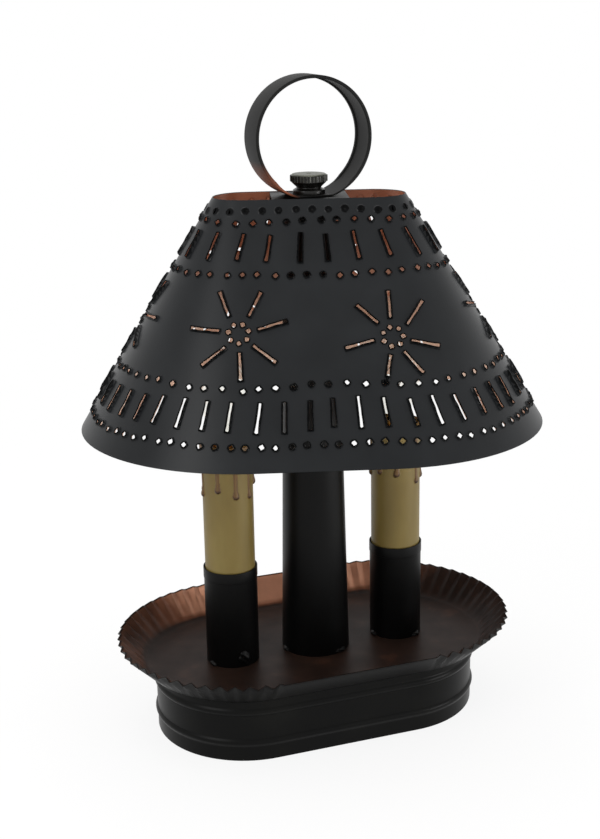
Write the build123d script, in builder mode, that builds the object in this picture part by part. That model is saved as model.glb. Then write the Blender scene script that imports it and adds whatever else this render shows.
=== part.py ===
from build123d import *
from math import atan, cos, degrees, pi, radians, sin, tan
import os

# Twin-candle accent lamp of punched and soldered tin sheet
# Millimetres, +Z up, X along the long axis of the base, front towards -Y
os.makedirs("parts", exist_ok=True)

# Sheet metal and fits
SHEET = 0.5
THREAD_GAP = 0.05
HOLE_GAP = 0.25
FREE_GAP = 0.3

# Base can with its two rolled beads and a turned-in hem
BASE_STRAIGHT = 66.0
BASE_RADIUS = 41.0
BASE_HEIGHT = 30.0
BEAD_FROM_FOOT = 8.6
BEAD_FROM_TOP = 7.0
BEAD_WIDTH = 3.4
BEAD_PROUD = 0.9
HEM_HEIGHT = 3.0
PLATE_THICKNESS = 1.0

# Cord inlet in the back wall
INLET_BORE_RADIUS = 3.0
BUSHING_RADIUS = 4.0
BUSHING_LIP = 1.2
BUSHING_FLANGE = 1.6
BUSHING_DEPTH = 5.0

# Drip tray, crimped round its two ends
TRAY_OVERHANG = 4.5
TRAY_FLARE = 11.5
TRAY_RISE = 12.5
FLUTES_PER_END = 28
FLUTE_DEPTH = 3.2

# Candles
CANDLE_SPACING = 79.0
CUP_RADIUS = 11.9
CUP_WALL = 0.4
CUP_HEIGHT = 44.5
SLEEVE_RADIUS = 11.0
SLEEVE_WALL = 0.8
SLEEVE_LENGTH = 101.6
DRIP_RADIUS = 1.2
DRIP_SINK = 0.4
DRIPS = {
    "left": ((20, 19.0), (62, 22.0), (100, 17.0), (143, 21.0), (181.5, 20.9),
             (230.5, 17.6), (271.5, 20.6), (308.5, 21.5), (341.5, 16.8)),
    "right": ((15, 20.0), (55, 18.0), (95, 22.0), (130, 19.0), (166.5, 22.2),
              (206.5, 19.9), (249.5, 20.5), (302.5, 24.8), (334.5, 23.7)),
}
COLLAR_HEIGHT = 3.0
COLLAR_PROUD = 0.7

# Candle hardware
NIPPLE_RADIUS = 5.0
NIPPLE_BORE_RADIUS = 3.5
NIPPLE_DROP = 6.0
NIPPLE_RISE = 9.5
NIPPLE_NUT_FLATS = 13.0
NIPPLE_NUT_HEIGHT = 3.5
NIPPLE_WASHER_RADIUS = 9.0
NIPPLE_WASHER_HEIGHT = 1.0
LEG_PLATE_RADIUS = 7.5
LEG_PLATE = 1.5
LEG_STRIP = 1.0
LEG_WIDTH = 6.0
LEG_OFFSET = 8.2

# Bulb socket
SOCKET_RECESS = 1.1
SOCKET_RADIUS = 8.5
SOCKET_HEIGHT = 27.0
SOCKET_FLOOR = 5.0
SHELL_RADIUS = 6.55
SHELL_WALL = 0.45
CONTACT_RADIUS = 4.0
CONTACT_PLATE = 0.6
CONTACT_TIP_RADIUS = 1.8
CONTACT_TIP = 1.9
SCREW_RADIUS = 1.5
SCREW_LENGTH = 3.5
SCREW_HEAD_RADIUS = 2.8
SCREW_HEAD = 2.0

# Bulb
CAP_RADIUS = 5.95
CAP_TIP_RADIUS = 1.6
CAP_TIP = 2.5
CAP_LENGTH = 19.0
CAP_CHAMFER = 1.2
GLASS_NECK_RADIUS = 5.6
GLASS_RADIUS = 11.0
GLASS_LENGTH = 40.0
GLASS_WALL = 0.7
GLASS_BELLY = 0.42
GLASS_NECK_CURVE = 0.15
GLASS_SIDE_CURVE = 0.2
GLASS_TIP_CURVE = 0.3
GLASS_TIP_SPREAD = 3
STEM_RADIUS = 2.2
STEM_LENGTH = 14.5
STEM_TAPER = 3

# Wiring inside the candles and the base
LEAD_RADIUS = 1.1
LEAD_SPREAD = 5.0
LEAD_PAIR = 1.3
LEAD_BEND = 9.0
LEAD_SWEEP = 36.0
LEAD_TURN = 4.5
LEAD_STRAIGHT = 24.0
LEAD_LEVELS = {-1: 9.0, 1: 13.5}
LEAD_NEAR_RUN = 1.0
LEAD_FAR_RUN = -3.5
CONNECTOR_OFFSET = 9.0
CONNECTOR_MOUTH = 10.0
CONNECTOR_LENGTH = 17.0
CONNECTOR_MOUTH_RADIUS = 4.6
CONNECTOR_END_RADIUS = 3.0

# Centre column and the rod that ties the lamp together
COLUMN_FOOT_RADIUS = 15.25
COLUMN_TOP_RADIUS = 11.1
ROD_RADIUS = 3.175
ROD_DROP = 9.5
ROD_CHAMFER = 0.5
ROD_WASHER_RADIUS = 15.0
ROD_WASHER = 1.2
ROD_NUT_FLATS = 12.7
ROD_NUT_HEIGHT = 5.0
COLUMN_CAP = 2.5
COLUMN_CAP_LIP = 0.6
COLUMN_SPIGOT = 8.0

# Shade, its strap and its punched pattern
SHADE_STRAIGHT = 55.0
SHADE_BOTTOM_RADIUS = 72.5
SHADE_TOP_RADIUS = 13.0
SHADE_BOTTOM = 137.5
SHADE_TOP = 235.0
SHADE_TURN = -16.5
STRAP_WIDTH = 32.0
STRAP_THICKNESS = 1.0
STRAP_DROP = 0.35
STRAP_TAB = 9.0
PUNCH_DEPTH = 4.0
DIMPLE_DEPTH = 0.3
DOT_SIZE = 2.4
DIMPLE_SIZE = 2.8
SLOT_WIDTH = 1.6
SLOT_LENGTH = 12.6
DIMPLE_ROWS = ((5.0, 31),)
DOT_ROWS = ((9.7, 32), (32.8, 46), (79.6, 64), (103.6, 87))
SLOT_ROWS = ((21.0, 22), (91.5, 48))
SLOT_LEAN = 0.85
STAR_DOT_RING = 4.1
STAR_DOT_SIZE = 2.4
STAR_SLOT_RING = 13.7
STAR_SLOT_LENGTH = 12.6
# Stars: shift along the outline, place down the slope, and the turns of the rays
STARS = (
    (0.0, 57.0, (10, 60, 108, 165, 212, 262, 318)),
    (0.0, 57.0, (-4, 50, 97, 150, 204, 252, 300)),
    (0.0, 57.2, (3, 50, 103, 153, 206, 265, 314)),
    (-2.5, 60.3, (-13, 33, 74, 134, 181, 224, 282)),
    (0.0, 57.0, (2, 55, 100, 158, 207, 256, 310)),
    (0.0, 57.0, (-10, 42, 92, 140, 196, 243, 295)),
)

# Ring handle and finial
RING_RADIUS = 25.2
RING_WIDTH = 16.0
RING_STRIP = 0.8
RING_SEAT = 15.0
RING_HEM_WIDTH = 1.8
RING_HEM = 0.6
RING_HEM_START = 3.0
FINIAL_SKIRT_RADIUS = 6.75
FINIAL_SKIRT = 1.6
FINIAL_NECK_RADIUS = 5.0
FINIAL_NECK = 2.6
FINIAL_FLARE = 5.0
FINIAL_HEAD_RADIUS = 7.85
FINIAL_HEIGHT = 8.2
FINIAL_EDGE = 0.5
FINIAL_DIMPLE_RADIUS = 1.0
FINIAL_THREAD_DEPTH = 6.2
KNURLS = 34
KNURL_SIZE = 0.9

# Places worked out from the sizes above
BEAD_HEIGHTS = (BEAD_FROM_FOOT, BASE_HEIGHT - BEAD_FROM_TOP)
TRAY_CREASE_RADIUS = BASE_RADIUS + TRAY_OVERHANG
TRAY_RIM_RADIUS = TRAY_CREASE_RADIUS + TRAY_FLARE
INLET_HEIGHT = sum(BEAD_HEIGHTS) / 2
TRAY_TOP = BASE_HEIGHT + SHEET
CANDLE_X = CANDLE_SPACING / 2
LEG_FOOT = TRAY_TOP + NIPPLE_NUT_HEIGHT
SLEEVE_TOP = TRAY_TOP + SLEEVE_LENGTH
SOCKET_BOTTOM = SLEEVE_TOP - SOCKET_RECESS - SOCKET_HEIGHT
SOCKET_BED = SOCKET_BOTTOM + SOCKET_FLOOR
CONTACT_TOP = SOCKET_BED + CONTACT_PLATE + CONTACT_TIP
CAP_BOTTOM = CONTACT_TOP + CAP_TIP
GLASS_BOTTOM = CAP_BOTTOM + CAP_LENGTH
STRAP_LEVEL = SHADE_TOP - STRAP_DROP
CAP_FLANGE_BOTTOM = STRAP_LEVEL - STRAP_THICKNESS - COLUMN_CAP
SHADE_HEIGHT = SHADE_TOP - SHADE_BOTTOM
SHADE_SLOPE = atan((SHADE_BOTTOM_RADIUS - SHADE_TOP_RADIUS) / SHADE_HEIGHT)
SHADE_SKIN = SHEET / cos(SHADE_SLOPE)
SHADE_FAN = (SHADE_STRAIGHT / 2 + SHADE_TOP_RADIUS) / sin(SHADE_SLOPE)
SHADE_FRAME = Plane.XY.rotated((0, 0, SHADE_TURN))
RING_FLOOR = STRAP_LEVEL + RING_STRIP
RING_CENTRE = RING_FLOOR + ((RING_RADIUS - RING_STRIP) ** 2 - (RING_SEAT / 2) ** 2) ** 0.5
ROD_TOP = RING_FLOOR + FINIAL_THREAD_DEPTH - FREE_GAP


def save(builder, name):
    """Label a finished piece and write its file."""
    builder.part.label = name
    export_step(builder.part, f"parts/{name}.step")


def fluted_outline(radius, depth):
    """Corner points of a stadium whose round ends are folded into flutes."""
    folds = 2 * FLUTES_PER_END
    points = []
    for end in (1, -1):
        for fold in range(folds + 1):
            angle = pi * fold / folds - pi / 2
            swing = 0 if fold in (0, folds) else depth / 2 * (-1) ** fold
            x = BASE_STRAIGHT / 2 + (radius + swing) * cos(angle)
            y = (radius + swing) * sin(angle)
            points.append((end * x, end * y))
    return points


def shade_spot(along, down, spin=0.0):
    """A place on the shade: along its outline from the front middle, down its slope from the top edge."""
    radius = SHADE_TOP_RADIUS + down * sin(SHADE_SLOPE)
    half = SHADE_STRAIGHT / 2
    side = 1 if along >= 0 else -1
    reach = abs(along)
    bend = min(max(reach - half, 0) / radius, pi)
    x = min(reach, half) + radius * sin(bend) - max(reach - half - pi * radius, 0)
    out = Vector(side * sin(bend), -cos(bend), 0)
    spot = Vector(side * x, -radius * cos(bend), SHADE_TOP - down * cos(SHADE_SLOPE))
    normal = out * cos(SHADE_SLOPE) + Vector(0, 0, sin(SHADE_SLOPE))
    level = Vector(0, 0, 1).cross(out)
    return Plane(spot, x_dir=level, z_dir=normal).location * Location((0, 0, 0), (0, 0, spin))


def outline_length(down):
    """Length round the shade at a distance down its slope."""
    return 2 * SHADE_STRAIGHT + 2 * pi * (SHADE_TOP_RADIUS + down * sin(SHADE_SLOPE))


def fan_turn(along, down):
    """Turn that points a mark at the place above the shade where its two round ends would meet."""
    radius = SHADE_TOP_RADIUS + down * sin(SHADE_SLOPE)
    half = SHADE_STRAIGHT / 2
    side = 1 if along >= 0 else -1
    reach = abs(along)
    bend = min(max(reach - half, 0) / radius, pi)
    aside = min(reach, half) * cos(bend) + max(reach - half - pi * radius, 0)
    return side * degrees(atan(aside / (SHADE_FAN + down)))


def row_spots(down, count, lean=0.0):
    """Even places round the shade in one row, each turned by a share of the fan."""
    pitch = outline_length(down) / count
    places = [pitch * (i + 0.5 - count / 2) for i in range(count)]
    return [shade_spot(along, down, lean * fan_turn(along, down)) for along in places]


def even_turns(rays):
    """As many turns as there are rays, evenly spaced from the first ray."""
    return [rays[0] + 360 * k / len(rays) for k in range(len(rays))]


def star_spots(ring, turns=tuple):
    """Places of one ring of every star, each turned to point away from its star's middle."""
    spots = []
    half = SHADE_STRAIGHT / 2
    for star, (shift, star_down, rays) in enumerate(STARS):
        radius = SHADE_TOP_RADIUS + star_down * sin(SHADE_SLOPE)
        middle = outline_length(star_down) * ((star + 0.5) / len(STARS) - 0.5) + shift
        side = 1 if middle >= 0 else -1
        bend = min(max(abs(middle) - half, 0) / radius, pi)
        rest = max(abs(middle) - half - pi * radius, 0)
        for angle in turns(rays):
            down = star_down + ring * cos(radians(angle))
            here = SHADE_TOP_RADIUS + down * sin(SHADE_SLOPE)
            ruling = side * (min(abs(middle), half) + bend * here + rest)
            spots.append(shade_spot(ruling + ring * sin(radians(angle)), down, angle))
    return spots


# Base can: the wall section swept round the oblong
half = BASE_STRAIGHT / 2
with BuildPart() as base_can:
    with BuildLine() as can_path:
        Line((-half, -BASE_RADIUS), (half, -BASE_RADIUS))
        ThreePointArc((half, -BASE_RADIUS), (half + BASE_RADIUS, 0), (half, BASE_RADIUS))
        Line((half, BASE_RADIUS), (-half, BASE_RADIUS))
        ThreePointArc((-half, BASE_RADIUS), (-half - BASE_RADIUS, 0), (-half, -BASE_RADIUS))
    with BuildSketch(Plane((-half, -BASE_RADIUS, 0), x_dir=(0, -1, 0), z_dir=(-1, 0, 0))):
        with BuildLine():
            for face in (0, -SHEET):
                foot = 0 if face == 0 else HEM_HEIGHT
                for bead in BEAD_HEIGHTS:
                    low, high = bead - BEAD_WIDTH / 2, bead + BEAD_WIDTH / 2
                    Line((face, foot), (face, low))
                    ThreePointArc((face, low), (face + BEAD_PROUD, bead), (face, high))
                    foot = high
                Line((face, foot), (face, BASE_HEIGHT))
            Line((0, BASE_HEIGHT), (-SHEET, BASE_HEIGHT))
            Polyline((-SHEET, HEM_HEIGHT), (-2 * SHEET, HEM_HEIGHT), (-2 * SHEET, 0), (0, 0))
        make_face()
    sweep(path=can_path.line)
    with Locations(Plane((0, BASE_RADIUS, INLET_HEIGHT), x_dir=(1, 0, 0), z_dir=(0, 1, 0))):
        Cylinder(BUSHING_RADIUS + HOLE_GAP, 4 * BEAD_PROUD, mode=Mode.SUBTRACT)
        Cylinder(BUSHING_RADIUS + BUSHING_LIP + HOLE_GAP, 4 * BEAD_PROUD,
                 align=(Align.CENTER, Align.CENTER, Align.MIN), mode=Mode.SUBTRACT)
save(base_can, "base_can")

# Bottom plate on the can's hem, and the felt under it
with BuildPart() as bottom_plate:
    with BuildSketch(Plane.XY.offset(HEM_HEIGHT)):
        SlotCenterToCenter(BASE_STRAIGHT, 2 * (BASE_RADIUS - SHEET - THREAD_GAP))
    extrude(amount=PLATE_THICKNESS)
save(bottom_plate, "bottom_plate")

with BuildPart() as felt_pad:
    with BuildSketch():
        SlotCenterToCenter(BASE_STRAIGHT, 2 * (BASE_RADIUS - 2 * SHEET - FREE_GAP))
    extrude(amount=HEM_HEIGHT)
save(felt_pad, "felt_pad")

# Cord inlet bushing
with BuildPart() as cord_bushing:
    with BuildSketch(Plane.YZ):
        with BuildLine():
            wall, inner = BASE_RADIUS, BASE_RADIUS - BUSHING_DEPTH
            bore, barrel = INLET_HEIGHT + INLET_BORE_RADIUS, INLET_HEIGHT + BUSHING_RADIUS
            rim = INLET_HEIGHT + BUSHING_RADIUS + BUSHING_LIP
            Polyline((inner, bore), (inner, barrel), (wall, barrel), (wall, rim),
                     (wall + BUSHING_FLANGE, rim), (wall + BUSHING_FLANGE, bore), close=True)
        make_face()
    revolve(axis=Axis((0, 0, INLET_HEIGHT), (0, 1, 0)))
save(cord_bushing, "cord_bushing")

# Drip tray: fluted outside less fluted inside, with holes for rod and nipples
tray_skin = SHEET * (1 + ((TRAY_RIM_RADIUS - TRAY_CREASE_RADIUS) / TRAY_RISE) ** 2) ** 0.5
with BuildPart() as drip_tray:
    for inset, floor, mode in ((0, BASE_HEIGHT, Mode.ADD), (tray_skin, TRAY_TOP, Mode.SUBTRACT)):
        lean = (TRAY_RIM_RADIUS - TRAY_CREASE_RADIUS) * (floor - BASE_HEIGHT) / TRAY_RISE
        with BuildSketch(Plane.XY.offset(floor)):
            Polygon(*fluted_outline(TRAY_CREASE_RADIUS + lean - inset, 0), align=None)
        with BuildSketch(Plane.XY.offset(BASE_HEIGHT + TRAY_RISE)):
            Polygon(*fluted_outline(TRAY_RIM_RADIUS - inset, FLUTE_DEPTH), align=None)
        loft(ruled=True, mode=mode)
    with Locations((0, 0, TRAY_TOP)):
        Cylinder(ROD_RADIUS + HOLE_GAP, 4 * SHEET, mode=Mode.SUBTRACT)
    with Locations((-CANDLE_X, 0, TRAY_TOP), (CANDLE_X, 0, TRAY_TOP)):
        Cylinder(NIPPLE_RADIUS + HOLE_GAP, 4 * SHEET, mode=Mode.SUBTRACT)
save(drip_tray, "drip_tray")

# Tie rod with its washer and nut under the tray
with BuildPart() as tie_rod:
    with BuildSketch(Plane.XY.offset(BASE_HEIGHT - ROD_DROP)):
        Circle(ROD_RADIUS)
    extrude(amount=ROD_TOP - BASE_HEIGHT + ROD_DROP)
    chamfer(tie_rod.edges().filter_by(GeomType.CIRCLE), length=ROD_CHAMFER)
save(tie_rod, "tie_rod")

with BuildPart() as rod_washer:
    with BuildSketch(Plane.XY.offset(BASE_HEIGHT)):
        Circle(ROD_WASHER_RADIUS)
        Circle(ROD_RADIUS + HOLE_GAP, mode=Mode.SUBTRACT)
    extrude(amount=-ROD_WASHER)
save(rod_washer, "rod_washer")

with BuildPart() as rod_nut:
    with BuildSketch(Plane.XY.offset(BASE_HEIGHT - ROD_WASHER)):
        RegularPolygon(ROD_NUT_FLATS / 2, 6, major_radius=False)
        Circle(ROD_RADIUS + THREAD_GAP, mode=Mode.SUBTRACT)
    extrude(amount=-ROD_NUT_HEIGHT)
save(rod_nut, "rod_nut")

# Centre column and the cap in its top
column_height = CAP_FLANGE_BOTTOM - TRAY_TOP
with BuildPart() as centre_column:
    with Locations((0, 0, TRAY_TOP)):
        Cone(COLUMN_FOOT_RADIUS, COLUMN_TOP_RADIUS, column_height,
             align=(Align.CENTER, Align.CENTER, Align.MIN))
        Cone(COLUMN_FOOT_RADIUS - SHEET, COLUMN_TOP_RADIUS - SHEET, column_height,
             align=(Align.CENTER, Align.CENTER, Align.MIN), mode=Mode.SUBTRACT)
save(centre_column, "centre_column")

with BuildPart() as column_cap:
    with BuildSketch(Plane.XY.offset(CAP_FLANGE_BOTTOM)):
        Circle(COLUMN_TOP_RADIUS + COLUMN_CAP_LIP)
    extrude(amount=COLUMN_CAP)
    with BuildSketch(Plane.XY.offset(CAP_FLANGE_BOTTOM)):
        Circle(COLUMN_TOP_RADIUS - SHEET - THREAD_GAP)
    extrude(amount=-COLUMN_SPIGOT)
    with Locations((0, 0, CAP_FLANGE_BOTTOM)):
        Cylinder(ROD_RADIUS + HOLE_GAP, 4 * COLUMN_SPIGOT, mode=Mode.SUBTRACT)
save(column_cap, "column_cap")

# Candle fasteners, each kind one group
with BuildPart() as nipple_washers:
    with BuildSketch(*[Plane((side * CANDLE_X, 0, BASE_HEIGHT)) for side in (-1, 1)]):
        Circle(NIPPLE_WASHER_RADIUS)
        Circle(NIPPLE_RADIUS + HOLE_GAP, mode=Mode.SUBTRACT)
    extrude(amount=-NIPPLE_WASHER_HEIGHT)
save(nipple_washers, "nipple_washers")

nut_heights = (BASE_HEIGHT - NIPPLE_WASHER_HEIGHT - NIPPLE_NUT_HEIGHT, TRAY_TOP, LEG_FOOT + LEG_PLATE)
with BuildPart() as nipple_nuts:
    with BuildSketch(*[Plane((side * CANDLE_X, 0, z)) for side in (-1, 1) for z in nut_heights]):
        RegularPolygon(NIPPLE_NUT_FLATS / 2, 6, major_radius=False)
        Circle(NIPPLE_RADIUS + THREAD_GAP, mode=Mode.SUBTRACT)
    extrude(amount=NIPPLE_NUT_HEIGHT)
save(nipple_nuts, "nipple_nuts")

leg_top = SOCKET_BOTTOM - LEG_STRIP
with BuildPart() as socket_screws:
    with BuildSketch(*[Plane((side * CANDLE_X, 0, leg_top)) for side in (-1, 1)]):
        Circle(SCREW_HEAD_RADIUS)
    extrude(amount=-SCREW_HEAD)
    with BuildSketch(*[Plane((side * CANDLE_X, 0, leg_top)) for side in (-1, 1)]):
        Circle(SCREW_RADIUS)
    extrude(amount=LEG_STRIP + SCREW_LENGTH)
save(socket_screws, "socket_screws")

# The pieces of the two candles
for side_name, side in (("left", -1), ("right", 1)):
    axis_x = side * CANDLE_X
    candle_axis = Axis((axis_x, 0, 0), (0, 0, 1))
    section = Plane((axis_x, 0, 0), x_dir=(1, 0, 0), z_dir=(0, -1, 0))

    with BuildPart() as candle_cup:
        with BuildSketch(Plane((axis_x, 0, TRAY_TOP))):
            Circle(CUP_RADIUS)
            Circle(CUP_RADIUS - CUP_WALL, mode=Mode.SUBTRACT)
        extrude(amount=CUP_HEIGHT)
    save(candle_cup, f"{side_name}_candle_cup")

    with BuildPart() as candle_sleeve:
        with BuildSketch(Plane((axis_x, 0, TRAY_TOP))):
            Circle(SLEEVE_RADIUS)
        extrude(amount=SLEEVE_LENGTH)
        with BuildSketch(Plane((axis_x, 0, SLEEVE_TOP))):
            Circle(SLEEVE_RADIUS + COLLAR_PROUD)
        extrude(amount=-COLLAR_HEIGHT)
        fillet(candle_sleeve.edges().filter_by(GeomType.CIRCLE).group_by(Axis.Z)[-1], COLLAR_PROUD)
        for turn, length in DRIPS[side_name]:
            reach = SLEEVE_RADIUS - DRIP_SINK
            x = axis_x + reach * cos(radians(turn))
            y = reach * sin(radians(turn))
            with Locations((x, y, SLEEVE_TOP - COLLAR_HEIGHT / 2)):
                Cylinder(DRIP_RADIUS, length, align=(Align.CENTER, Align.CENTER, Align.MAX))
            with Locations((x, y, SLEEVE_TOP - COLLAR_HEIGHT / 2 - length)):
                Sphere(DRIP_RADIUS)
        with BuildSketch(Plane((axis_x, 0, TRAY_TOP))):
            Circle(SLEEVE_RADIUS - SLEEVE_WALL)
        extrude(amount=SLEEVE_LENGTH, mode=Mode.SUBTRACT)
    save(candle_sleeve, f"{side_name}_candle_sleeve")

    with BuildPart() as nipple:
        with BuildSketch(Plane((axis_x, 0, BASE_HEIGHT - NIPPLE_DROP))):
            Circle(NIPPLE_RADIUS)
            Circle(NIPPLE_BORE_RADIUS, mode=Mode.SUBTRACT)
        extrude(amount=NIPPLE_DROP + SHEET + NIPPLE_RISE)
    save(nipple, f"{side_name}_nipple")

    with BuildPart() as socket_leg:
        near, far = side * LEG_OFFSET, side * (LEG_OFFSET + LEG_STRIP)
        with BuildSketch(Plane((axis_x, 0, LEG_FOOT))):
            Circle(LEG_PLATE_RADIUS)
            with Locations((far / 2, 0)):
                Rectangle(abs(far), LEG_WIDTH)
            Circle(NIPPLE_RADIUS + THREAD_GAP, mode=Mode.SUBTRACT)
        extrude(amount=LEG_PLATE)
        with BuildSketch(Plane((axis_x, 0, LEG_FOOT))):
            with Locations(((near + far) / 2, 0)):
                Rectangle(LEG_STRIP, LEG_WIDTH)
        extrude(amount=SOCKET_BOTTOM - LEG_FOOT)
        with BuildSketch(Plane((axis_x, 0, SOCKET_BOTTOM))):
            with Locations((side * (LEG_OFFSET - LEG_WIDTH) / 2 + side * LEG_STRIP, 0)):
                Rectangle(LEG_OFFSET + LEG_WIDTH, LEG_WIDTH)
            Circle(SCREW_RADIUS + THREAD_GAP, mode=Mode.SUBTRACT)
        extrude(amount=-LEG_STRIP)
    save(socket_leg, f"{side_name}_socket_leg")

    with BuildPart() as socket_body:
        with BuildSketch(Plane((axis_x, 0, SOCKET_BOTTOM))):
            Circle(SOCKET_RADIUS)
        extrude(amount=SOCKET_HEIGHT)
        with BuildSketch(Plane((axis_x, 0, SOCKET_BED))):
            Circle(SHELL_RADIUS + THREAD_GAP)
        extrude(amount=SOCKET_HEIGHT, mode=Mode.SUBTRACT)
        with BuildSketch(Plane((axis_x, 0, SOCKET_BOTTOM))):
            Circle(SCREW_RADIUS + THREAD_GAP)
        extrude(amount=SCREW_LENGTH, mode=Mode.SUBTRACT)
    save(socket_body, f"{side_name}_socket_body")

    with BuildPart() as screw_shell:
        with BuildSketch(Plane((axis_x, 0, SOCKET_BED))):
            Circle(SHELL_RADIUS)
            Circle(SHELL_RADIUS - SHELL_WALL, mode=Mode.SUBTRACT)
        extrude(amount=SOCKET_HEIGHT - SOCKET_FLOOR)
    save(screw_shell, f"{side_name}_screw_shell")

    with BuildPart() as centre_contact:
        with BuildSketch(Plane((axis_x, 0, SOCKET_BED))):
            Circle(CONTACT_RADIUS)
        extrude(amount=CONTACT_PLATE)
        with BuildSketch(Plane((axis_x, 0, SOCKET_BED))):
            Circle(CONTACT_TIP_RADIUS)
        extrude(amount=CONTACT_PLATE + CONTACT_TIP)
    save(centre_contact, f"{side_name}_centre_contact")

    with BuildPart() as bulb_cap:
        with BuildSketch(Plane((axis_x, 0, CONTACT_TOP))):
            Circle(CAP_TIP_RADIUS)
        extrude(amount=CAP_TIP)
        with BuildSketch(Plane((axis_x, 0, CAP_BOTTOM))):
            Circle(CAP_RADIUS)
        extrude(amount=CAP_LENGTH)
        chamfer(bulb_cap.faces().filter_by(Axis.Z).sort_by(Axis.Z)[1].outer_wire().edges(), CAP_CHAMFER)
    save(bulb_cap, f"{side_name}_bulb_cap")

    with BuildPart() as bulb_glass:
        with BuildSketch(section):
            with BuildLine():
                tip = GLASS_BOTTOM + GLASS_LENGTH
                belly = GLASS_BOTTOM + GLASS_BELLY * GLASS_LENGTH
                for inset in (0, GLASS_WALL):
                    neck, wide = GLASS_NECK_RADIUS - inset, GLASS_RADIUS - inset
                    Bezier((neck, GLASS_BOTTOM), (neck, GLASS_BOTTOM + GLASS_NECK_CURVE * GLASS_LENGTH),
                           (wide, belly - GLASS_SIDE_CURVE * GLASS_LENGTH), (wide, belly))
                    Bezier((wide, belly), (wide, belly + GLASS_TIP_CURVE * GLASS_LENGTH),
                           (wide / GLASS_TIP_SPREAD, tip - inset), (0, tip - inset))
                Line((0, tip), (0, tip - GLASS_WALL))
                Line((GLASS_NECK_RADIUS - GLASS_WALL, GLASS_BOTTOM), (GLASS_NECK_RADIUS, GLASS_BOTTOM))
            make_face()
        revolve(axis=candle_axis)
    save(bulb_glass, f"{side_name}_bulb_glass")

    with BuildPart() as bulb_stem:
        with BuildSketch(Plane((axis_x, 0, GLASS_BOTTOM))):
            Circle(STEM_RADIUS)
        extrude(amount=STEM_LENGTH, taper=STEM_TAPER)
    save(bulb_stem, f"{side_name}_bulb_stem")

    with BuildPart() as socket_leads:
        for pole in (-1, 1):
            level = LEAD_LEVELS[side]
            lane = 1 if pole == side else -1
            run = LEAD_NEAR_RUN if pole == side else LEAD_FAR_RUN
            end_x = pole * CONNECTOR_OFFSET + side * LEAD_RADIUS
            with BuildLine() as lead_path:
                FilletPolyline((axis_x, lane * LEAD_SPREAD, SOCKET_BOTTOM),
                               (axis_x, lane * LEAD_SPREAD, SOCKET_BOTTOM - LEAD_STRAIGHT),
                               (axis_x, lane * LEAD_PAIR, TRAY_TOP + LEAD_STRAIGHT),
                               (axis_x, lane * LEAD_PAIR, level),
                               (end_x, run, level),
                               (end_x, CONNECTOR_MOUTH, level),
                               radius=(LEAD_SWEEP, LEAD_SWEEP, LEAD_BEND, LEAD_TURN))
            with BuildSketch(Plane((axis_x, lane * LEAD_SPREAD, SOCKET_BOTTOM), z_dir=(0, 0, -1))):
                Circle(LEAD_RADIUS)
            sweep(path=lead_path.line)
    save(socket_leads, f"{side_name}_socket_leads")

# Wire connectors that join the leads in the base
with BuildPart() as wire_connectors:
    level = sum(LEAD_LEVELS.values()) / 2
    for pole in (-1, 1):
        with BuildSketch(Plane((pole * CONNECTOR_OFFSET, CONNECTOR_MOUTH, level), z_dir=(0, 1, 0))):
            Circle(CONNECTOR_MOUTH_RADIUS)
        with BuildSketch(Plane((pole * CONNECTOR_OFFSET, CONNECTOR_MOUTH + CONNECTOR_LENGTH, level),
                               z_dir=(0, 1, 0))):
            Circle(CONNECTOR_END_RADIUS)
        loft()
save(wire_connectors, "wire_connectors")

# Shade: one sheet, punched, planar front and back with half-cone ends
with BuildPart(SHADE_FRAME) as shade_skin:
    for inset, mode in ((0, Mode.ADD), (SHADE_SKIN, Mode.SUBTRACT)):
        with BuildSketch(SHADE_FRAME.offset(SHADE_BOTTOM)):
            SlotCenterToCenter(SHADE_STRAIGHT, 2 * (SHADE_BOTTOM_RADIUS - inset))
        extrude(amount=SHADE_HEIGHT, taper=degrees(SHADE_SLOPE), mode=mode)
    with Locations(*[spot for row in DIMPLE_ROWS for spot in row_spots(*row)]):
        Box(DIMPLE_SIZE, DIMPLE_SIZE, 2 * DIMPLE_DEPTH, mode=Mode.SUBTRACT)
    with Locations(*[spot for row in DOT_ROWS for spot in row_spots(*row)]):
        Box(DOT_SIZE, DOT_SIZE, PUNCH_DEPTH, mode=Mode.SUBTRACT)
    with Locations(*star_spots(STAR_DOT_RING, even_turns)):
        Box(STAR_DOT_SIZE, STAR_DOT_SIZE, PUNCH_DEPTH, mode=Mode.SUBTRACT)
    with Locations(*[spot for row in SLOT_ROWS for spot in row_spots(*row, SLOT_LEAN)]):
        Box(SLOT_WIDTH, SLOT_LENGTH, PUNCH_DEPTH, mode=Mode.SUBTRACT)
    with Locations(*star_spots(STAR_SLOT_RING)):
        Box(SLOT_WIDTH, STAR_SLOT_LENGTH, PUNCH_DEPTH, mode=Mode.SUBTRACT)
save(shade_skin, "shade_skin")

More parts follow.
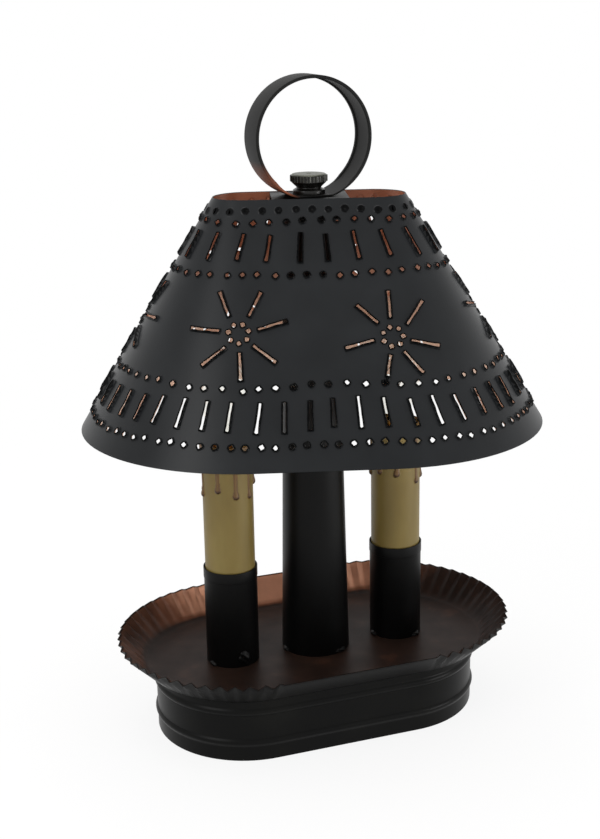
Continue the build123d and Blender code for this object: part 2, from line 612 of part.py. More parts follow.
# Strap across the shade's top, its ends bent down inside the walls
with BuildPart() as shade_strap:
    strap_edge = SHADE_TOP_RADIUS + STRAP_DROP * tan(SHADE_SLOPE) - SHADE_SKIN
    bend = STRAP_THICKNESS * tan((pi / 2 - SHADE_SLOPE) / 2)
    tab_out, tab_down = STRAP_TAB * sin(SHADE_SLOPE), STRAP_TAB * cos(SHADE_SLOPE)
    with BuildSketch(Plane(SHADE_FRAME.origin, x_dir=SHADE_FRAME.y_dir, z_dir=SHADE_FRAME.x_dir)):
        with BuildLine():
            thick_out = STRAP_THICKNESS * cos(SHADE_SLOPE)
            thick_down = STRAP_THICKNESS * sin(SHADE_SLOPE)
            edge = [(strap_edge + tab_out, STRAP_LEVEL - tab_down), (strap_edge, STRAP_LEVEL)]
            under = [(strap_edge - bend, STRAP_LEVEL - STRAP_THICKNESS),
                     (strap_edge + tab_out - thick_out, STRAP_LEVEL - tab_down - thick_down)]
            Polyline(*edge, *[(-y, z) for y, z in reversed(edge)],
                     *[(-y, z) for y, z in reversed(under)], *under, close=True)
        make_face()
    extrude(amount=STRAP_WIDTH / 2, both=True)
    with Locations((0, 0, STRAP_LEVEL)):
        Cylinder(ROD_RADIUS + HOLE_GAP, 4 * STRAP_THICKNESS, mode=Mode.SUBTRACT)
save(shade_strap, "shade_strap")

# Ring handle: a hemmed strip rolled to a ring with a flat seat
with BuildPart() as ring_handle:
    for radius, floor, mode in ((RING_RADIUS, STRAP_LEVEL, Mode.ADD),
                                (RING_RADIUS - RING_STRIP, RING_FLOOR, Mode.SUBTRACT)):
        with BuildSketch(Plane.XZ):
            with Locations((0, RING_CENTRE)):
                Circle(radius)
            with Locations((0, floor)):
                Rectangle(4 * radius, 4 * radius, align=(Align.CENTER, Align.MIN), mode=Mode.INTERSECT)
        extrude(amount=RING_WIDTH / 2, both=True, mode=mode)
    for end in (-1, 1):
        with BuildSketch(Plane.XZ.offset(end * RING_WIDTH / 2)):
            with Locations((0, RING_CENTRE)):
                Circle(RING_RADIUS - RING_STRIP)
                Circle(RING_RADIUS - RING_STRIP - RING_HEM, mode=Mode.SUBTRACT)
            with Locations((0, RING_FLOOR + RING_HEM_START)):
                Rectangle(4 * RING_RADIUS, 4 * RING_RADIUS, align=(Align.CENTER, Align.MIN),
                          mode=Mode.INTERSECT)
        extrude(amount=-end * RING_HEM_WIDTH)
    with Locations((0, 0, STRAP_LEVEL)):
        Cylinder(ROD_RADIUS + HOLE_GAP, 4 * RING_STRIP, mode=Mode.SUBTRACT)
save(ring_handle, "ring_handle")

# Finial: a turned thumb nut with a straight knurl
with BuildPart() as finial:
    with BuildSketch(Plane.XZ):
        with BuildLine():
            base, top = RING_FLOOR, RING_FLOOR + FINIAL_HEIGHT
            Polyline((0, base), (FINIAL_SKIRT_RADIUS, base), (FINIAL_SKIRT_RADIUS, base + FINIAL_SKIRT),
                     (FINIAL_NECK_RADIUS, base + FINIAL_NECK), (FINIAL_HEAD_RADIUS, base + FINIAL_FLARE),
                     (FINIAL_HEAD_RADIUS, top - FINIAL_EDGE), (FINIAL_HEAD_RADIUS - FINIAL_EDGE, top),
                     (FINIAL_DIMPLE_RADIUS, top), (0, top - FINIAL_DIMPLE_RADIUS / 2), (0, base))
        make_face()
    revolve(axis=Axis.Z)
    with BuildSketch(Plane.XY.offset(base)):
        Circle(ROD_RADIUS + THREAD_GAP)
    extrude(amount=FINIAL_THREAD_DEPTH, mode=Mode.SUBTRACT)
    with BuildSketch(Plane.XY.offset(base + FINIAL_FLARE - FINIAL_EDGE)):
        with PolarLocations(FINIAL_HEAD_RADIUS, KNURLS):
            Rectangle(KNURL_SIZE, KNURL_SIZE, rotation=45)
    extrude(amount=FINIAL_HEIGHT - FINIAL_FLARE, mode=Mode.SUBTRACT)
save(finial, "finial")
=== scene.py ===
# %% [markdown]
# # A punched tin accent lamp
# The lamp stands on an oblong tin base. A crimped drip tray carries two electric candles and a tapered
# column. A punched oblong shade hangs on the column's rod under a ring handle and a knurled thumb nut.
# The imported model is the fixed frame: every piece below is made round it, in metres, +Z up.

# %% Load the frame
import math
import random

import bmesh
import bpy
from mathutils import Matrix, Vector
from mathutils.geometry import delaunay_2d_cdt


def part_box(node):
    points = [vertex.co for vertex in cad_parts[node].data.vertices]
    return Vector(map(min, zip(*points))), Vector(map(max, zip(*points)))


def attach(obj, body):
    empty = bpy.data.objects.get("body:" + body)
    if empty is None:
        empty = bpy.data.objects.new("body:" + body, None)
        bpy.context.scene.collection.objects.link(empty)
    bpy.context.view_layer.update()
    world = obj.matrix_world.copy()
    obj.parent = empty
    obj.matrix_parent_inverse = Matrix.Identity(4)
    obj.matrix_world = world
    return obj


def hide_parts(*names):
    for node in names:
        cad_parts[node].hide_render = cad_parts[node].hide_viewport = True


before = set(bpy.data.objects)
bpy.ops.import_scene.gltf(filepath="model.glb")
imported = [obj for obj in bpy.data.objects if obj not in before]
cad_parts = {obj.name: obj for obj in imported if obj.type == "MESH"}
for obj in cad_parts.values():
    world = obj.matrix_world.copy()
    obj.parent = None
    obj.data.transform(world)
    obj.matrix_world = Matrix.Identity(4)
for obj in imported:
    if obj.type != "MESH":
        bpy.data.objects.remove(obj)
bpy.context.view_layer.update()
MM = 0.001
scene = bpy.context.scene
scene.view_settings.view_transform = "Standard"

# %% [markdown]
# ## Small tools for every finish
# Colours are written as sRGB hex values, the way a paint chart gives them, and Blender wants linear
# light, so one function turns one into the other. A second function adds a shader or geometry node with
# its settings and links in one line, which keeps the trees below readable. Each finish starts as an empty
# material and ends in one shader. Some sockets go by number, because their names repeat: on Map Range 1
# and 2 are the range that it reads, and 3 and 4 the range that it gives; on Mix 0 is the share, and 6 and
# 7 are the two colours.

# %% Colour and node tools
def linear(code):
    """A hex colour such as "#2f3134" as linear red, green, blue and alpha."""
    parts = [int(code[i:i + 2], 16) / 255 for i in (1, 3, 5)]
    return [c / 12.92 if c <= 0.04045 else ((c + 0.055) / 1.055) ** 2.4 for c in parts] + [1.0]


def add(tree, kind, inputs=None, stops=(), **settings):
    """Add one node; an input is a value, a socket or a node, and a ramp's stops are places and colours."""
    node = tree.nodes.new(kind)
    for name, value in settings.items():
        setattr(node, name, value)
    for key, value in (inputs or {}).items():
        if isinstance(value, bpy.types.Node):
            value = value.outputs[0]
        if isinstance(value, bpy.types.NodeSocket):
            tree.links.new(value, node.inputs[key])
        else:
            node.inputs[key].default_value = value
    for i, (place, code) in enumerate(stops):
        ramp = node.color_ramp.elements
        stop = ramp[0] if i == 0 else ramp[-1] if i == len(stops) - 1 else ramp.new(place)
        stop.position, stop.color = place, linear(code)
    return node


def new_finish(name):
    """An empty material, its tree, and the place on the piece in metres, which its patterns read."""
    finish = bpy.data.materials.new(name)
    finish.use_nodes = True
    tree = finish.node_tree
    tree.nodes.clear()
    return finish, tree, add(tree, "ShaderNodeTexCoord").outputs["Object"]


def end_finish(tree, sockets):
    """Close a material with one Principled shader, its even values set straight on its sockets."""
    shader = add(tree, "ShaderNodeBsdfPrincipled", sockets)
    add(tree, "ShaderNodeOutputMaterial", {"Surface": shader})


def per_metre(size_mm):
    """The scale of a texture whose features are to be this many millimetres wide."""
    return 1 / (size_mm * MM)


print("grey half way in sRGB is", round(linear("#808080")[0], 3), "in linear light")

# %% [markdown]
# ## Satin black tin
# The outside is tinplate with a sprayed satin black finish. It shows a soft, wide gloss, cloudy patches
# a few centimetres across where the spray is thinner, and a fine orange peel. The clouds drive the
# colour and the roughness; the peel is only bump, because it is a few hundredths of a millimetre deep.
# The shade's black is cooler, paler and a little rougher than the body's, and the upright tubes have the
# deepest black: these are lit and shaded copies of the one black, the paler shade painted light and the
# darker body and tubes painted shade. Hands have rubbed the ring handle dull. The torn lips are painted
# darker and duller, which is painted shade, and a copper tint on the ring is a painted reflection of the
# copper inside the shade. A mesh says where with two attributes, which are simply missing, and so 0, on
# the other pieces.

# %% Satin black tin
CLOUD_SIZE, PEEL_SIZE, PEEL_DEPTH = 26, 1.1, 0.1
# Torn lips get a painted shade colour, and the ring a painted reflection of the copper inside the shade.
LIP_SHADE, REFLECTED_COPPER = "#020202", "#8a5038"


def black_finish(name, dark, middle, light, smooth, rough, shine):
    """Sprayed black on tin, from the darkest to the lightest of its clouds."""
    finish, tree, place = new_finish(name)
    clouds = add(tree, "ShaderNodeTexNoise", {"Vector": place, "Scale": per_metre(CLOUD_SIZE), "Detail": 4.0})
    cloud_stops = (0.3, dark), (0.55, middle), (0.75, light)
    shown = add(tree, "ShaderNodeValToRGB", {"Fac": clouds}, stops=cloud_stops).outputs[0]
    # Painted shade on torn lips, and a painted copper reflection on the ring, where the mesh says so.
    for where, colour in (("lip", LIP_SHADE), ("copper_showing", REFLECTED_COPPER)):
        share = add(tree, "ShaderNodeAttribute", attribute_name=where).outputs["Fac"]
        mixed = add(tree, "ShaderNodeMix", {0: share, 6: shown, 7: linear(colour)}, data_type="RGBA")
        shown = mixed.outputs[2]
    gloss = add(tree, "ShaderNodeMapRange", {"Value": clouds, 3: smooth, 4: rough})
    peel = add(tree, "ShaderNodeTexNoise", {"Vector": place, "Scale": per_metre(PEEL_SIZE), "Detail": 2.0})
    bump = add(tree, "ShaderNodeBump", {"Height": peel, "Strength": 0.12, "Distance": PEEL_DEPTH * MM})
    end_finish(tree, {"Base Color": shown, "Roughness": gloss, "Normal": bump, "Specular IOR Level": shine})
    return finish


shade_tones = "#0f1113", "#141618", "#191b1d", 0.32, 0.44
# A paler copy of the one black for the sloped shade: painted light.
shade_black = black_finish("satin_black_shade_tin", *shade_tones, 0.2)
# Torn lips: the shade's black made duller, as painted shade.
lip_shade_black = black_finish("torn_lip_shade_tin", *shade_tones, 0.05)
# Darker copies of the one black for the body and for the tubes under the shade: painted shade.
black_tin = black_finish("satin_black_tin", "#080808", "#0b0b0a", "#11110f", 0.28, 0.4, 0.085)
tube_black = black_finish("shaded_black_tube_tin", "#030303", "#050505", "#080807", 0.38, 0.46, 0.13)
ring_black = black_finish("worn_black_ring_tin", "#0c0c0c", "#121211", "#181817", 0.5, 0.62, 0.15)
print("finishes:", shade_black.name, lip_shade_black.name, black_tin.name, tube_black.name, ring_black.name)

# %% [markdown]
# ## Copper wash
# The inside of the shade keeps a copper-washed face, which is what glows through the punched holes.
# It is a dull metal coat, part mirror and part matt, and light that bounces about inside the shade picks
# its colour up twice. So the wash itself is paler than it looks. Handling leaves brown clouds. Towards the
# top the copper is painted darker and browner, which is painted shade.

# %% Copper wash
TARNISH_SIZE, PAINTED_SHADE_FROM, PAINTED_SHADE_TO = 14, 165.0, 215.0
copper_wash, tree, place = new_finish("copper_washed_tin")
tarnish = add(tree, "ShaderNodeTexNoise", {"Vector": place, "Scale": per_metre(TARNISH_SIZE), "Detail": 5.0})
copper_stops = (0.3, "#e6b79c"), (0.55, "#f3cdb4"), (0.72, "#fae2d0")
clean = add(tree, "ShaderNodeValToRGB", {"Fac": tarnish}, stops=copper_stops)
height = add(tree, "ShaderNodeSeparateXYZ", {0: place}).outputs[2]
# Painted shade: the copper turns darker and browner towards the top of the shade.
painted_shade_share = add(tree, "ShaderNodeMapRange", {"Value": height, 1: PAINTED_SHADE_FROM * MM, 2: PAINTED_SHADE_TO * MM},
           interpolation_type="SMOOTHSTEP")
painted_shade_copper = add(tree, "ShaderNodeMix", {0: painted_shade_share, 6: clean, 7: linear("#a8674a")}, data_type="RGBA")
gloss = add(tree, "ShaderNodeMapRange", {"Value": tarnish, 3: 0.42, 4: 0.28})
end_finish(tree, {"Base Color": painted_shade_copper.outputs[2], "Roughness": gloss, "Metallic": 0.15,
                  "Specular IOR Level": 0.3})
print("finish:", copper_wash.name)

# %% [markdown]
# ## Tray: wear and painted sheen
# The tray is the same tin, black below. Its upper face is copper under a thin dark lacquer that has been
# rubbed back where hands and cloths reach, least on the floor. On the flare the copper is painted
# brightest where it faces the back, and brighter at the left end than at the right, which is painted
# light: a sheen. A noise alone would put this anywhere, so the mesh carries wear and painted sheen as one
# attribute, and a soft mottle only breaks its edge.

# %% Copper under dark lacquer, worn, with painted sheen
MOTTLE_SIZE = 15
tray_wear_and_sheen_tin, tree, place = new_finish("copper_tray_tin_wear_and_sheen")
# One attribute carries wear and painted sheen together.
rubbed = add(tree, "ShaderNodeAttribute", attribute_name="rubbed").outputs["Fac"]
mottle = add(tree, "ShaderNodeTexNoise", {"Vector": place, "Scale": per_metre(MOTTLE_SIZE), "Detail": 5.0})
break_up = add(tree, "ShaderNodeMapRange", {"Value": mottle, 1: 0.3, 2: 0.7, 3: -0.1, 4: 0.1})
copper_showing = add(tree, "ShaderNodeMath", {0: rubbed, 1: break_up}, operation="ADD", use_clamp=True)
tray_stops = (0.0, "#130f0d"), (0.25, "#2a1e19"), (0.6, "#6b4736"), (1.0, "#c8957a")
tint = add(tree, "ShaderNodeValToRGB", {"Fac": copper_showing}, stops=tray_stops)
metal = add(tree, "ShaderNodeMapRange", {"Value": copper_showing, 1: 0.15, 2: 0.7, 3: 0.0, 4: 0.5})
gloss = add(tree, "ShaderNodeMapRange", {"Value": mottle, 3: 0.46, 4: 0.34})
end_finish(tree, {"Base Color": tint, "Metallic": metal, "Roughness": gloss, "Specular IOR Level": 0.07})
print("finish:", tray_wear_and_sheen_tin.name)

# %% [markdown]
# ## Candle wax
# The sleeves are card tubes dipped in tinted wax. The wax is a dull honey colour with a soft edge to its
# light, and the drips at the top are stained brown. Their edges and the foot of each tip are painted
# darker, which is painted shade. The mesh says where with an attribute called "drip", from 0 on the
# plain wax to 1 at the foot of a drip.

# %% Stained candle wax
GRIME_SIZE, DIP_SIZE, DIP_DEPTH, GLOW_DEPTH = 11, 2.5, 0.1, 2.0
candle_wax, tree, place = new_finish("stained_candle_wax")
drip = add(tree, "ShaderNodeAttribute", attribute_name="drip").outputs["Fac"]
streaks = add(tree, "ShaderNodeMapping", {"Vector": place, "Scale": (1.0, 1.0, 0.3)})
grime = add(tree, "ShaderNodeTexNoise", {"Vector": streaks, "Scale": per_metre(GRIME_SIZE), "Detail": 3.0})
wax_stops = (0.3, "#69592a"), (0.55, "#736332"), (0.75, "#7b6c3a")
drip_stops = (0.0, "#75632f"), (0.35, "#715a30"), (0.6, "#5a4021"), (1.0, "#35210f")
plain = add(tree, "ShaderNodeValToRGB", {"Fac": grime}, stops=wax_stops)
stain_and_shade_tint = add(tree, "ShaderNodeValToRGB", {"Fac": drip}, stops=drip_stops)
run = add(tree, "ShaderNodeMapRange", {"Value": drip, 1: 0.05, 2: 0.3})
wax_colour = add(tree, "ShaderNodeMix", {0: run, 6: plain, 7: stain_and_shade_tint}, data_type="RGBA")
dipped = add(tree, "ShaderNodeTexNoise", {"Vector": place, "Scale": per_metre(DIP_SIZE), "Detail": 2.0})
bump = add(tree, "ShaderNodeBump", {"Height": dipped, "Strength": 0.1, "Distance": DIP_DEPTH * MM})
end_finish(tree, {"Base Color": wax_colour.outputs[2], "Normal": bump, "Roughness": 0.48,
                  "Specular IOR Level": 0.35, "Subsurface Weight": 0.1,
                  "Subsurface Scale": GLOW_DEPTH * MM, "Subsurface Radius": (1.0, 0.6, 0.3)})
print("finish:", candle_wax.name)

# %% [markdown]
# ## Metals, plastics and felt for the hardware
# The remaining finishes are simple: a base colour broken by one noise of a real size, with the metal,
# roughness and bump of the common material. Zinc plating is pale and half bright, brass is yellow and
# brighter, and drawn tungsten is grey. The bronze nut is nearly black, paler on its knurl where fingers
# rub it, and paler still on the faces that look up at its top.
# Phenolic, polypropylene and vinyl have the soft gloss of the mould, vitrite is black glass, and felt is
# quite matt. One loop makes them from a table: name, dark and light colour, metallic, lowest and highest
# roughness, noise size in millimetres and bump depth in millimetres.

# %% Hardware finishes
hardware = {
    "plain_steel": ("zinc_plated_steel", "#8d8f8e", "#b9bab7", 1.0, 0.3, 0.45, 3.0, 0.01),
    "black_plastic": ("moulded_phenolic", "#0d0d0d", "#181817", 0.0, 0.35, 0.5, 2.0, 0.02),
    "felt": ("pressed_wool_felt", "#141312", "#2a2826", 0.0, 0.9, 1.0, 0.6, 0.2),
    "aged_bronze": ("aged_bronze_nut", "#0b0a09", "#191815", 0.4, 0.2, 0.35, 4.0, 0.02),
    "rubbed_bronze": ("rubbed_bronze_knurl", "#12110f", "#33332c", 0.4, 0.3, 0.45, 1.2, 0.02),
    "worn_bronze": ("pale_top_bronze_face", "#4f5046", "#6c6d61", 0.6, 0.35, 0.5, 5.0, 0.02),
    "brass": ("rolled_brass", "#a07f3f", "#c9a75e", 1.0, 0.25, 0.4, 3.0, 0.01),
    "lead_insulation": ("vinyl_lead_insulation", "#161616", "#222221", 0.0, 0.4, 0.55, 3.0, 0.02),
    "connector_plastic": ("moulded_polypropylene", "#a9591f", "#c06a2a", 0.0, 0.4, 0.55, 3.0, 0.02),
    "tungsten": ("drawn_tungsten", "#4a4a4c", "#77777a", 1.0, 0.3, 0.4, 0.5, 0.005),
    "ceramic": ("vitrite_insulator", "#0b0a0d", "#17141c", 0.0, 0.1, 0.2, 2.0, 0.01),
}
finishes = {"tube_black": tube_black}
for slot, (name, dark, light, metallic, smooth, rough, grain, depth) in hardware.items():
    finishes[slot], tree, place = new_finish(name)
    noise = add(tree, "ShaderNodeTexNoise", {"Vector": place, "Scale": per_metre(grain), "Detail": 4.0})
    tint = add(tree, "ShaderNodeValToRGB", {"Fac": noise}, stops=((0.3, dark), (0.7, light)))
    gloss = add(tree, "ShaderNodeMapRange", {"Value": noise, 3: smooth, 4: rough})
    bump = add(tree, "ShaderNodeBump", {"Height": noise, "Strength": 0.5, "Distance": depth * MM})
    end_finish(tree, {"Base Color": tint, "Roughness": gloss, "Normal": bump, "Metallic": metallic})
print("hardware finishes:", ", ".join(hardware))

# %% [markdown]
# ## Bulb glass
# Clear soda-lime glass: no colour, an IOR of 1.52, and a trace of waviness from the blowing. What the eye
# sees of glass is how it bends and mirrors the room, so its only pattern is in the bump.

# %% Blown glass
BLOW_SIZE, BLOW_DEPTH = 18, 0.2
bulb_glass, tree, place = new_finish("blown_bulb_glass")
blown = add(tree, "ShaderNodeTexNoise", {"Vector": place, "Scale": per_metre(BLOW_SIZE), "Detail": 1.0})
bump = add(tree, "ShaderNodeBump", {"Height": blown, "Strength": 0.15, "Distance": BLOW_DEPTH * MM})
end_finish(tree, {"Base Color": linear("#fbfbf8"), "Normal": bump, "Roughness": 0.0, "IOR": 1.52,
                  "Transmission Weight": 1.0})
print("finish:", bulb_glass.name)

# %% [markdown]
# ## Dress the hardware that keeps its CAD shape
# Nuts, washers, sockets, leads, the strap and the bushing already have their real shape in the frame.
# They only need a finish, which goes into their own material slots.

# %% Finishes on the CAD nodes
def both(*names):
    """The same node on the left and on the right candle."""
    return [f"{side}_{name}" for name in names for side in ("left", "right")]


dressed = {
    "plain_steel": ["bottom_plate", "tie_rod", "rod_washer", "rod_nut", "nipple_washers", "nipple_nuts",
                    "socket_screws", "column_cap"] + both("nipple", "socket_leg"),
    "felt": ["felt_pad"],
    "black_plastic": ["cord_bushing"] + both("socket_body"),
    "tube_black": ["shade_strap"],
    "brass": both("screw_shell", "centre_contact"),
    "lead_insulation": both("socket_leads"),
    "connector_plastic": ["wire_connectors"],
}
for slot, nodes in dressed.items():
    for node in nodes:
        for material_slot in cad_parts[node].material_slots:
            material_slot.material = finishes[slot]
print("CAD nodes that stay in view:", sum(len(nodes) for nodes in dressed.values()))

# %% [markdown]
# ## Tools for sheet metal
# Most pieces are a section carried along a line, so they are skins over rows of points. `soften` rounds
# the corners of a section, because folded tin never has a sharp edge. `new_piece` closes the skin,
# merges its seams and poles and turns its faces outwards; `carry` gives its points a number that a finish
# or a tree reads; `fit` hands it to its body in the frame.

# %% Skins, sections and fitting
CORNER_SHARE, MERGE = 0.48, 0.0005


def soften(corners, steps=4):
    """A closed section with each corner (x, y, reach) rounded by a short curve."""
    section = []
    for i, (x, y, reach) in enumerate(corners):
        here = Vector((x, y))
        if reach == 0:
            section.append((x, y))
            continue
        ends = []
        for next_corner in (corners[i - 1], corners[(i + 1) % len(corners)]):
            run = Vector(next_corner[:2]) - here
            ends.append(here + run.normalized() * min(reach, run.length * CORNER_SHARE))
        for t in (k / steps for k in range(steps + 1)):
            spot = ends[0] * (1 - t) ** 2 + here * 2 * t * (1 - t) + ends[1] * t ** 2
            section.append((spot.x, spot.y))
    return section


def skin(rows, along=True):
    """Points and four-sided faces over closed rows of points; along also joins the last row to the first."""
    count = len(rows[0])
    faces = []
    for i in range(len(rows) if along else len(rows) - 1):
        low, high = i * count, (i + 1) % len(rows) * count
        for k in range(count):
            n = (k + 1) % count
            faces.append((low + k, low + n, high + n, high + k))
    return [point for row in rows for point in row], faces


def into_scene(name, data):
    """A new object in the scene, at the origin."""
    thing = bpy.data.objects.new(name, data)
    scene.collection.objects.link(thing)
    return thing


def new_piece(name, points, faces, *materials):
    """A closed mesh from points in millimetres, its faces outwards."""
    shape = bmesh.new()
    verts = [shape.verts.new(Vector(p) * MM) for p in points]
    for face in faces:
        shape.faces.new([verts[i] for i in face])
    bmesh.ops.remove_doubles(shape, verts=shape.verts, dist=MERGE * MM)
    if shape.calc_volume(signed=True) < 0:
        bmesh.ops.reverse_faces(shape, faces=shape.faces)
    mesh = bpy.data.meshes.new(name)
    shape.to_mesh(mesh)
    shape.free()
    for material in materials:
        mesh.materials.append(material)
    return into_scene(name, mesh)


def carry(piece, key, values):
    """Give each point of a piece a number, under a name that a finish or a tree reads."""
    piece.data.attributes.new(key, "FLOAT", "POINT").data.foreach_set("value", values)


def fit(piece, body, slot, *nodes, crease=35):
    """Shade the piece smooth except at its creases, and give it to a body of the frame."""
    piece.data.shade_smooth()
    piece.data.set_sharp_from_angle(angle=math.radians(crease))
    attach(piece, body)
    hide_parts(*nodes)
    print(f"{piece.name}: {len(piece.data.polygons)} faces on {body}")


def bake(piece):
    """Turn what the piece's modifiers make into its own plain mesh."""
    graph = bpy.context.evaluated_depsgraph_get()
    shaped = piece.evaluated_get(graph)
    made = bpy.data.meshes.new_from_object(shaped, preserve_all_data_layers=True, depsgraph=graph)
    piece.modifiers.clear()
    spare, piece.data = piece.data, made
    made.name = piece.name
    bpy.data.meshes.remove(spare)


def share_of(value, start, length):
    """How far a value is from its start to the end of a length, from 0 to 1."""
    return min(max((value - start) / length, 0.0), 1.0)


print("tools: soften, skin, into_scene, new_piece, carry, fit, bake, share_of")

# %% [markdown]
# ## Base can
# The base is a strip of tin bent to an oblong, with two rolled beads and a hem turned in at the foot.
# Its section runs round two half circles joined by straight sides. A thickened sheet would do for the
# wall, but a closed section also gives the hem and the rounded top edge. The hole for the cord bushing
# is a plain cut through the back wall.

# %% Base can
BASE_HALF, BASE_RADIUS, BASE_HEIGHT, SHEET = 33.0, 41.0, 30.0, 0.5
BEADS, BEAD_WIDTH, BEAD_PROUD, BEAD_FULLNESS = (8.6, 23.0), 3.4, 0.9, 0.8
HEM_HEIGHT, WALL_FOOT, WALL_HEAD, WALL_ROWS, EDGE = 3.0, 0.6, BASE_HEIGHT - 0.2, 72, 0.1
INLET_HEIGHT, INLET_RADIUS, PUNCH_SIDES, PUNCH_LENGTH = sum(BEADS) / 2, 4.1, 40, 10.0


def oblong(half, radius, height, steps=48):
    """One row of points round an oblong: two half circles and the straight sides between them."""
    row = []
    for end in (1, -1):
        for k in range(steps + 1):
            angle = math.pi * k / steps - math.pi / 2
            row.append((end * (half + radius * math.cos(angle)), end * radius * math.sin(angle), height))
        row.append((0.0, end * radius, height))
    return row


def bead_swell(height):
    """How far a rolled bead stands out at this height."""
    swell = 0.0
    for bead in BEADS:
        off = abs(height - bead) / (BEAD_WIDTH / 2)
        if off < 1:
            swell = BEAD_PROUD * math.cos(off * math.pi / 2) ** BEAD_FULLNESS
    return swell


heights = [WALL_FOOT + (WALL_HEAD - WALL_FOOT) * k / WALL_ROWS for k in range(WALL_ROWS + 1)]
outer = [(BASE_RADIUS + bead_swell(z), z) for z in heights]
top = [(BASE_RADIUS - EDGE, BASE_HEIGHT), (BASE_RADIUS - SHEET + EDGE, BASE_HEIGHT)]
inner = [(BASE_RADIUS - SHEET + bead_swell(z), z) for z in reversed(heights) if z > HEM_HEIGHT]
hem = soften([(BASE_RADIUS - SHEET, HEM_HEIGHT, 0), (BASE_RADIUS - 2 * SHEET, HEM_HEIGHT, 0.1),
              (BASE_RADIUS - 2 * SHEET, 0, 0.4), (BASE_RADIUS, 0, 0.55), (BASE_RADIUS, WALL_FOOT, 0)])[:-1]
wall_rows = [oblong(BASE_HALF, r, z) for r, z in outer + top + inner + hem]
base_can = new_piece("base_can_wall", *skin(wall_rows), black_tin)
bpy.ops.mesh.primitive_cylinder_add(vertices=PUNCH_SIDES, radius=INLET_RADIUS * MM, depth=PUNCH_LENGTH * MM,
                                    location=(0, BASE_RADIUS * MM, INLET_HEIGHT * MM),
                                    rotation=(math.pi / 2, 0, 0))
punch = bpy.context.object
cut = base_can.modifiers.new("inlet hole", "BOOLEAN")
cut.object, cut.operation, cut.solver = punch, "DIFFERENCE", "EXACT"
bake(base_can)
bpy.data.objects.remove(punch)
fit(base_can, "base", "black_tin", "base_can")

# %% [markdown]
# ## Geometry Nodes trees
# Shapes that follow a rule are made by trees. `new_tree` makes a tree with named size inputs,
# `run_tree` puts it on a piece, sets the inputs by their identifiers, and bakes the result.

# %% Tree tools
def new_tree(name, sizes):
    """A geometry tree with a mesh input and one named input for each size."""
    tree = bpy.data.node_groups.new(name, "GeometryNodeTree")
    tree.interface.new_socket("Geometry", in_out="INPUT", socket_type="NodeSocketGeometry")
    for key, value in sizes.items():
        kind = "NodeSocketInt" if isinstance(value, int) else "NodeSocketFloat"
        tree.interface.new_socket(key, in_out="INPUT", socket_type=kind)
    tree.interface.new_socket("Geometry", in_out="OUTPUT", socket_type="NodeSocketGeometry")
    return tree, add(tree, "NodeGroupInput").outputs


def end_tree(tree, geometry, finish):
    """Realise what the tree made, give it its finish and send it out."""
    real = add(tree, "GeometryNodeRealizeInstances", {0: geometry})
    coated = add(tree, "GeometryNodeSetMaterial", {"Geometry": real, "Material": finish})
    add(tree, "NodeGroupOutput", {0: coated})


def run_tree(piece, tree, sizes):
    """Shape the piece with a tree, then keep the result as plain mesh."""
    modifier = piece.modifiers.new(tree.name, "NODES")
    modifier.node_group = tree
    for item in tree.interface.items_tree:
        if item.in_out == "INPUT" and item.name in sizes:
            modifier[item.identifier] = sizes[item.name]
    bake(piece)


print("tree tools ready")

# %% [markdown]
# ## Drip tray: the dish
# The tray starts as a smooth oblong dish. A crimping tool then folds its round ends into small flutes
# that fade out towards the crease; the straight sides stay plain. So the dish is a skin that carries
# what the crimping needs: how far along the crimps a point is, and how strongly it is folded. Hand work
# makes the folds slightly uneven. The dish also carries how far its lacquer is rubbed off, together with
# a painted sheen on the flare.

# %% Drip tray dish
TRAY_CREASE, TRAY_RIM, TRAY_RISE, TRAY_FLOOR = 45.5, 57.0, 12.5, 30.0
FLUTES, STEPS_PER_FLUTE, FLUTE_DEPTH, PLAIN_END = 28, 8, 2.4, 0.25
LEAST_FOLD, MOST_FOLD = 0.75, 1.15
FLOOR_RADII, WALL_IN, WALL_UP = [0, 15, 30, 40], 0.34, 0.37
# The left and back shares paint a sheen on the flare, which is painted light.
FLOOR_RUB, WALL_RUB, LEFT_SHEEN, BACK_SHEEN, BACK_SHEEN_FOCUS = 0.2, 0.26, 0.07, 0.62, 6
RUB_FADE, RIM_PAINTED = 0.15, 0.97
lean = (TRAY_RIM - TRAY_CREASE) / TRAY_RISE
upper = [(r, SHEET) for r in FLOOR_RADII]
upper += [(TRAY_CREASE - 1.9, SHEET), (TRAY_CREASE - 0.9, 0.7), (TRAY_CREASE - 0.2, 1.15)]
upper += [(TRAY_CREASE + lean * z - WALL_IN, z + WALL_UP) for z in (1.5, 3, 4.5, 6, 7.5, 9, 10.5, 11.6)]
rim = [(TRAY_RIM - 0.32, TRAY_RISE - 0.02), (TRAY_RIM, TRAY_RISE - 0.2)]
lower = [(TRAY_CREASE + lean * z, z) for z in (11.4, 10.3, 9, 7.5, 6, 4.5, 3, 1.5, 0.6)]
lower += [(TRAY_CREASE - 0.2, 0.12), (TRAY_CREASE - 0.9, 0)] + [(r, 0) for r in reversed(FLOOR_RADII)]
dish_rows = [oblong(BASE_HALF, r, TRAY_FLOOR + z, FLUTES * STEPS_PER_FLUTE) for r, z in upper + rim + lower]
dish = new_piece("drip_tray_dish", *skin(dish_rows, along=False), tray_wear_and_sheen_tin)

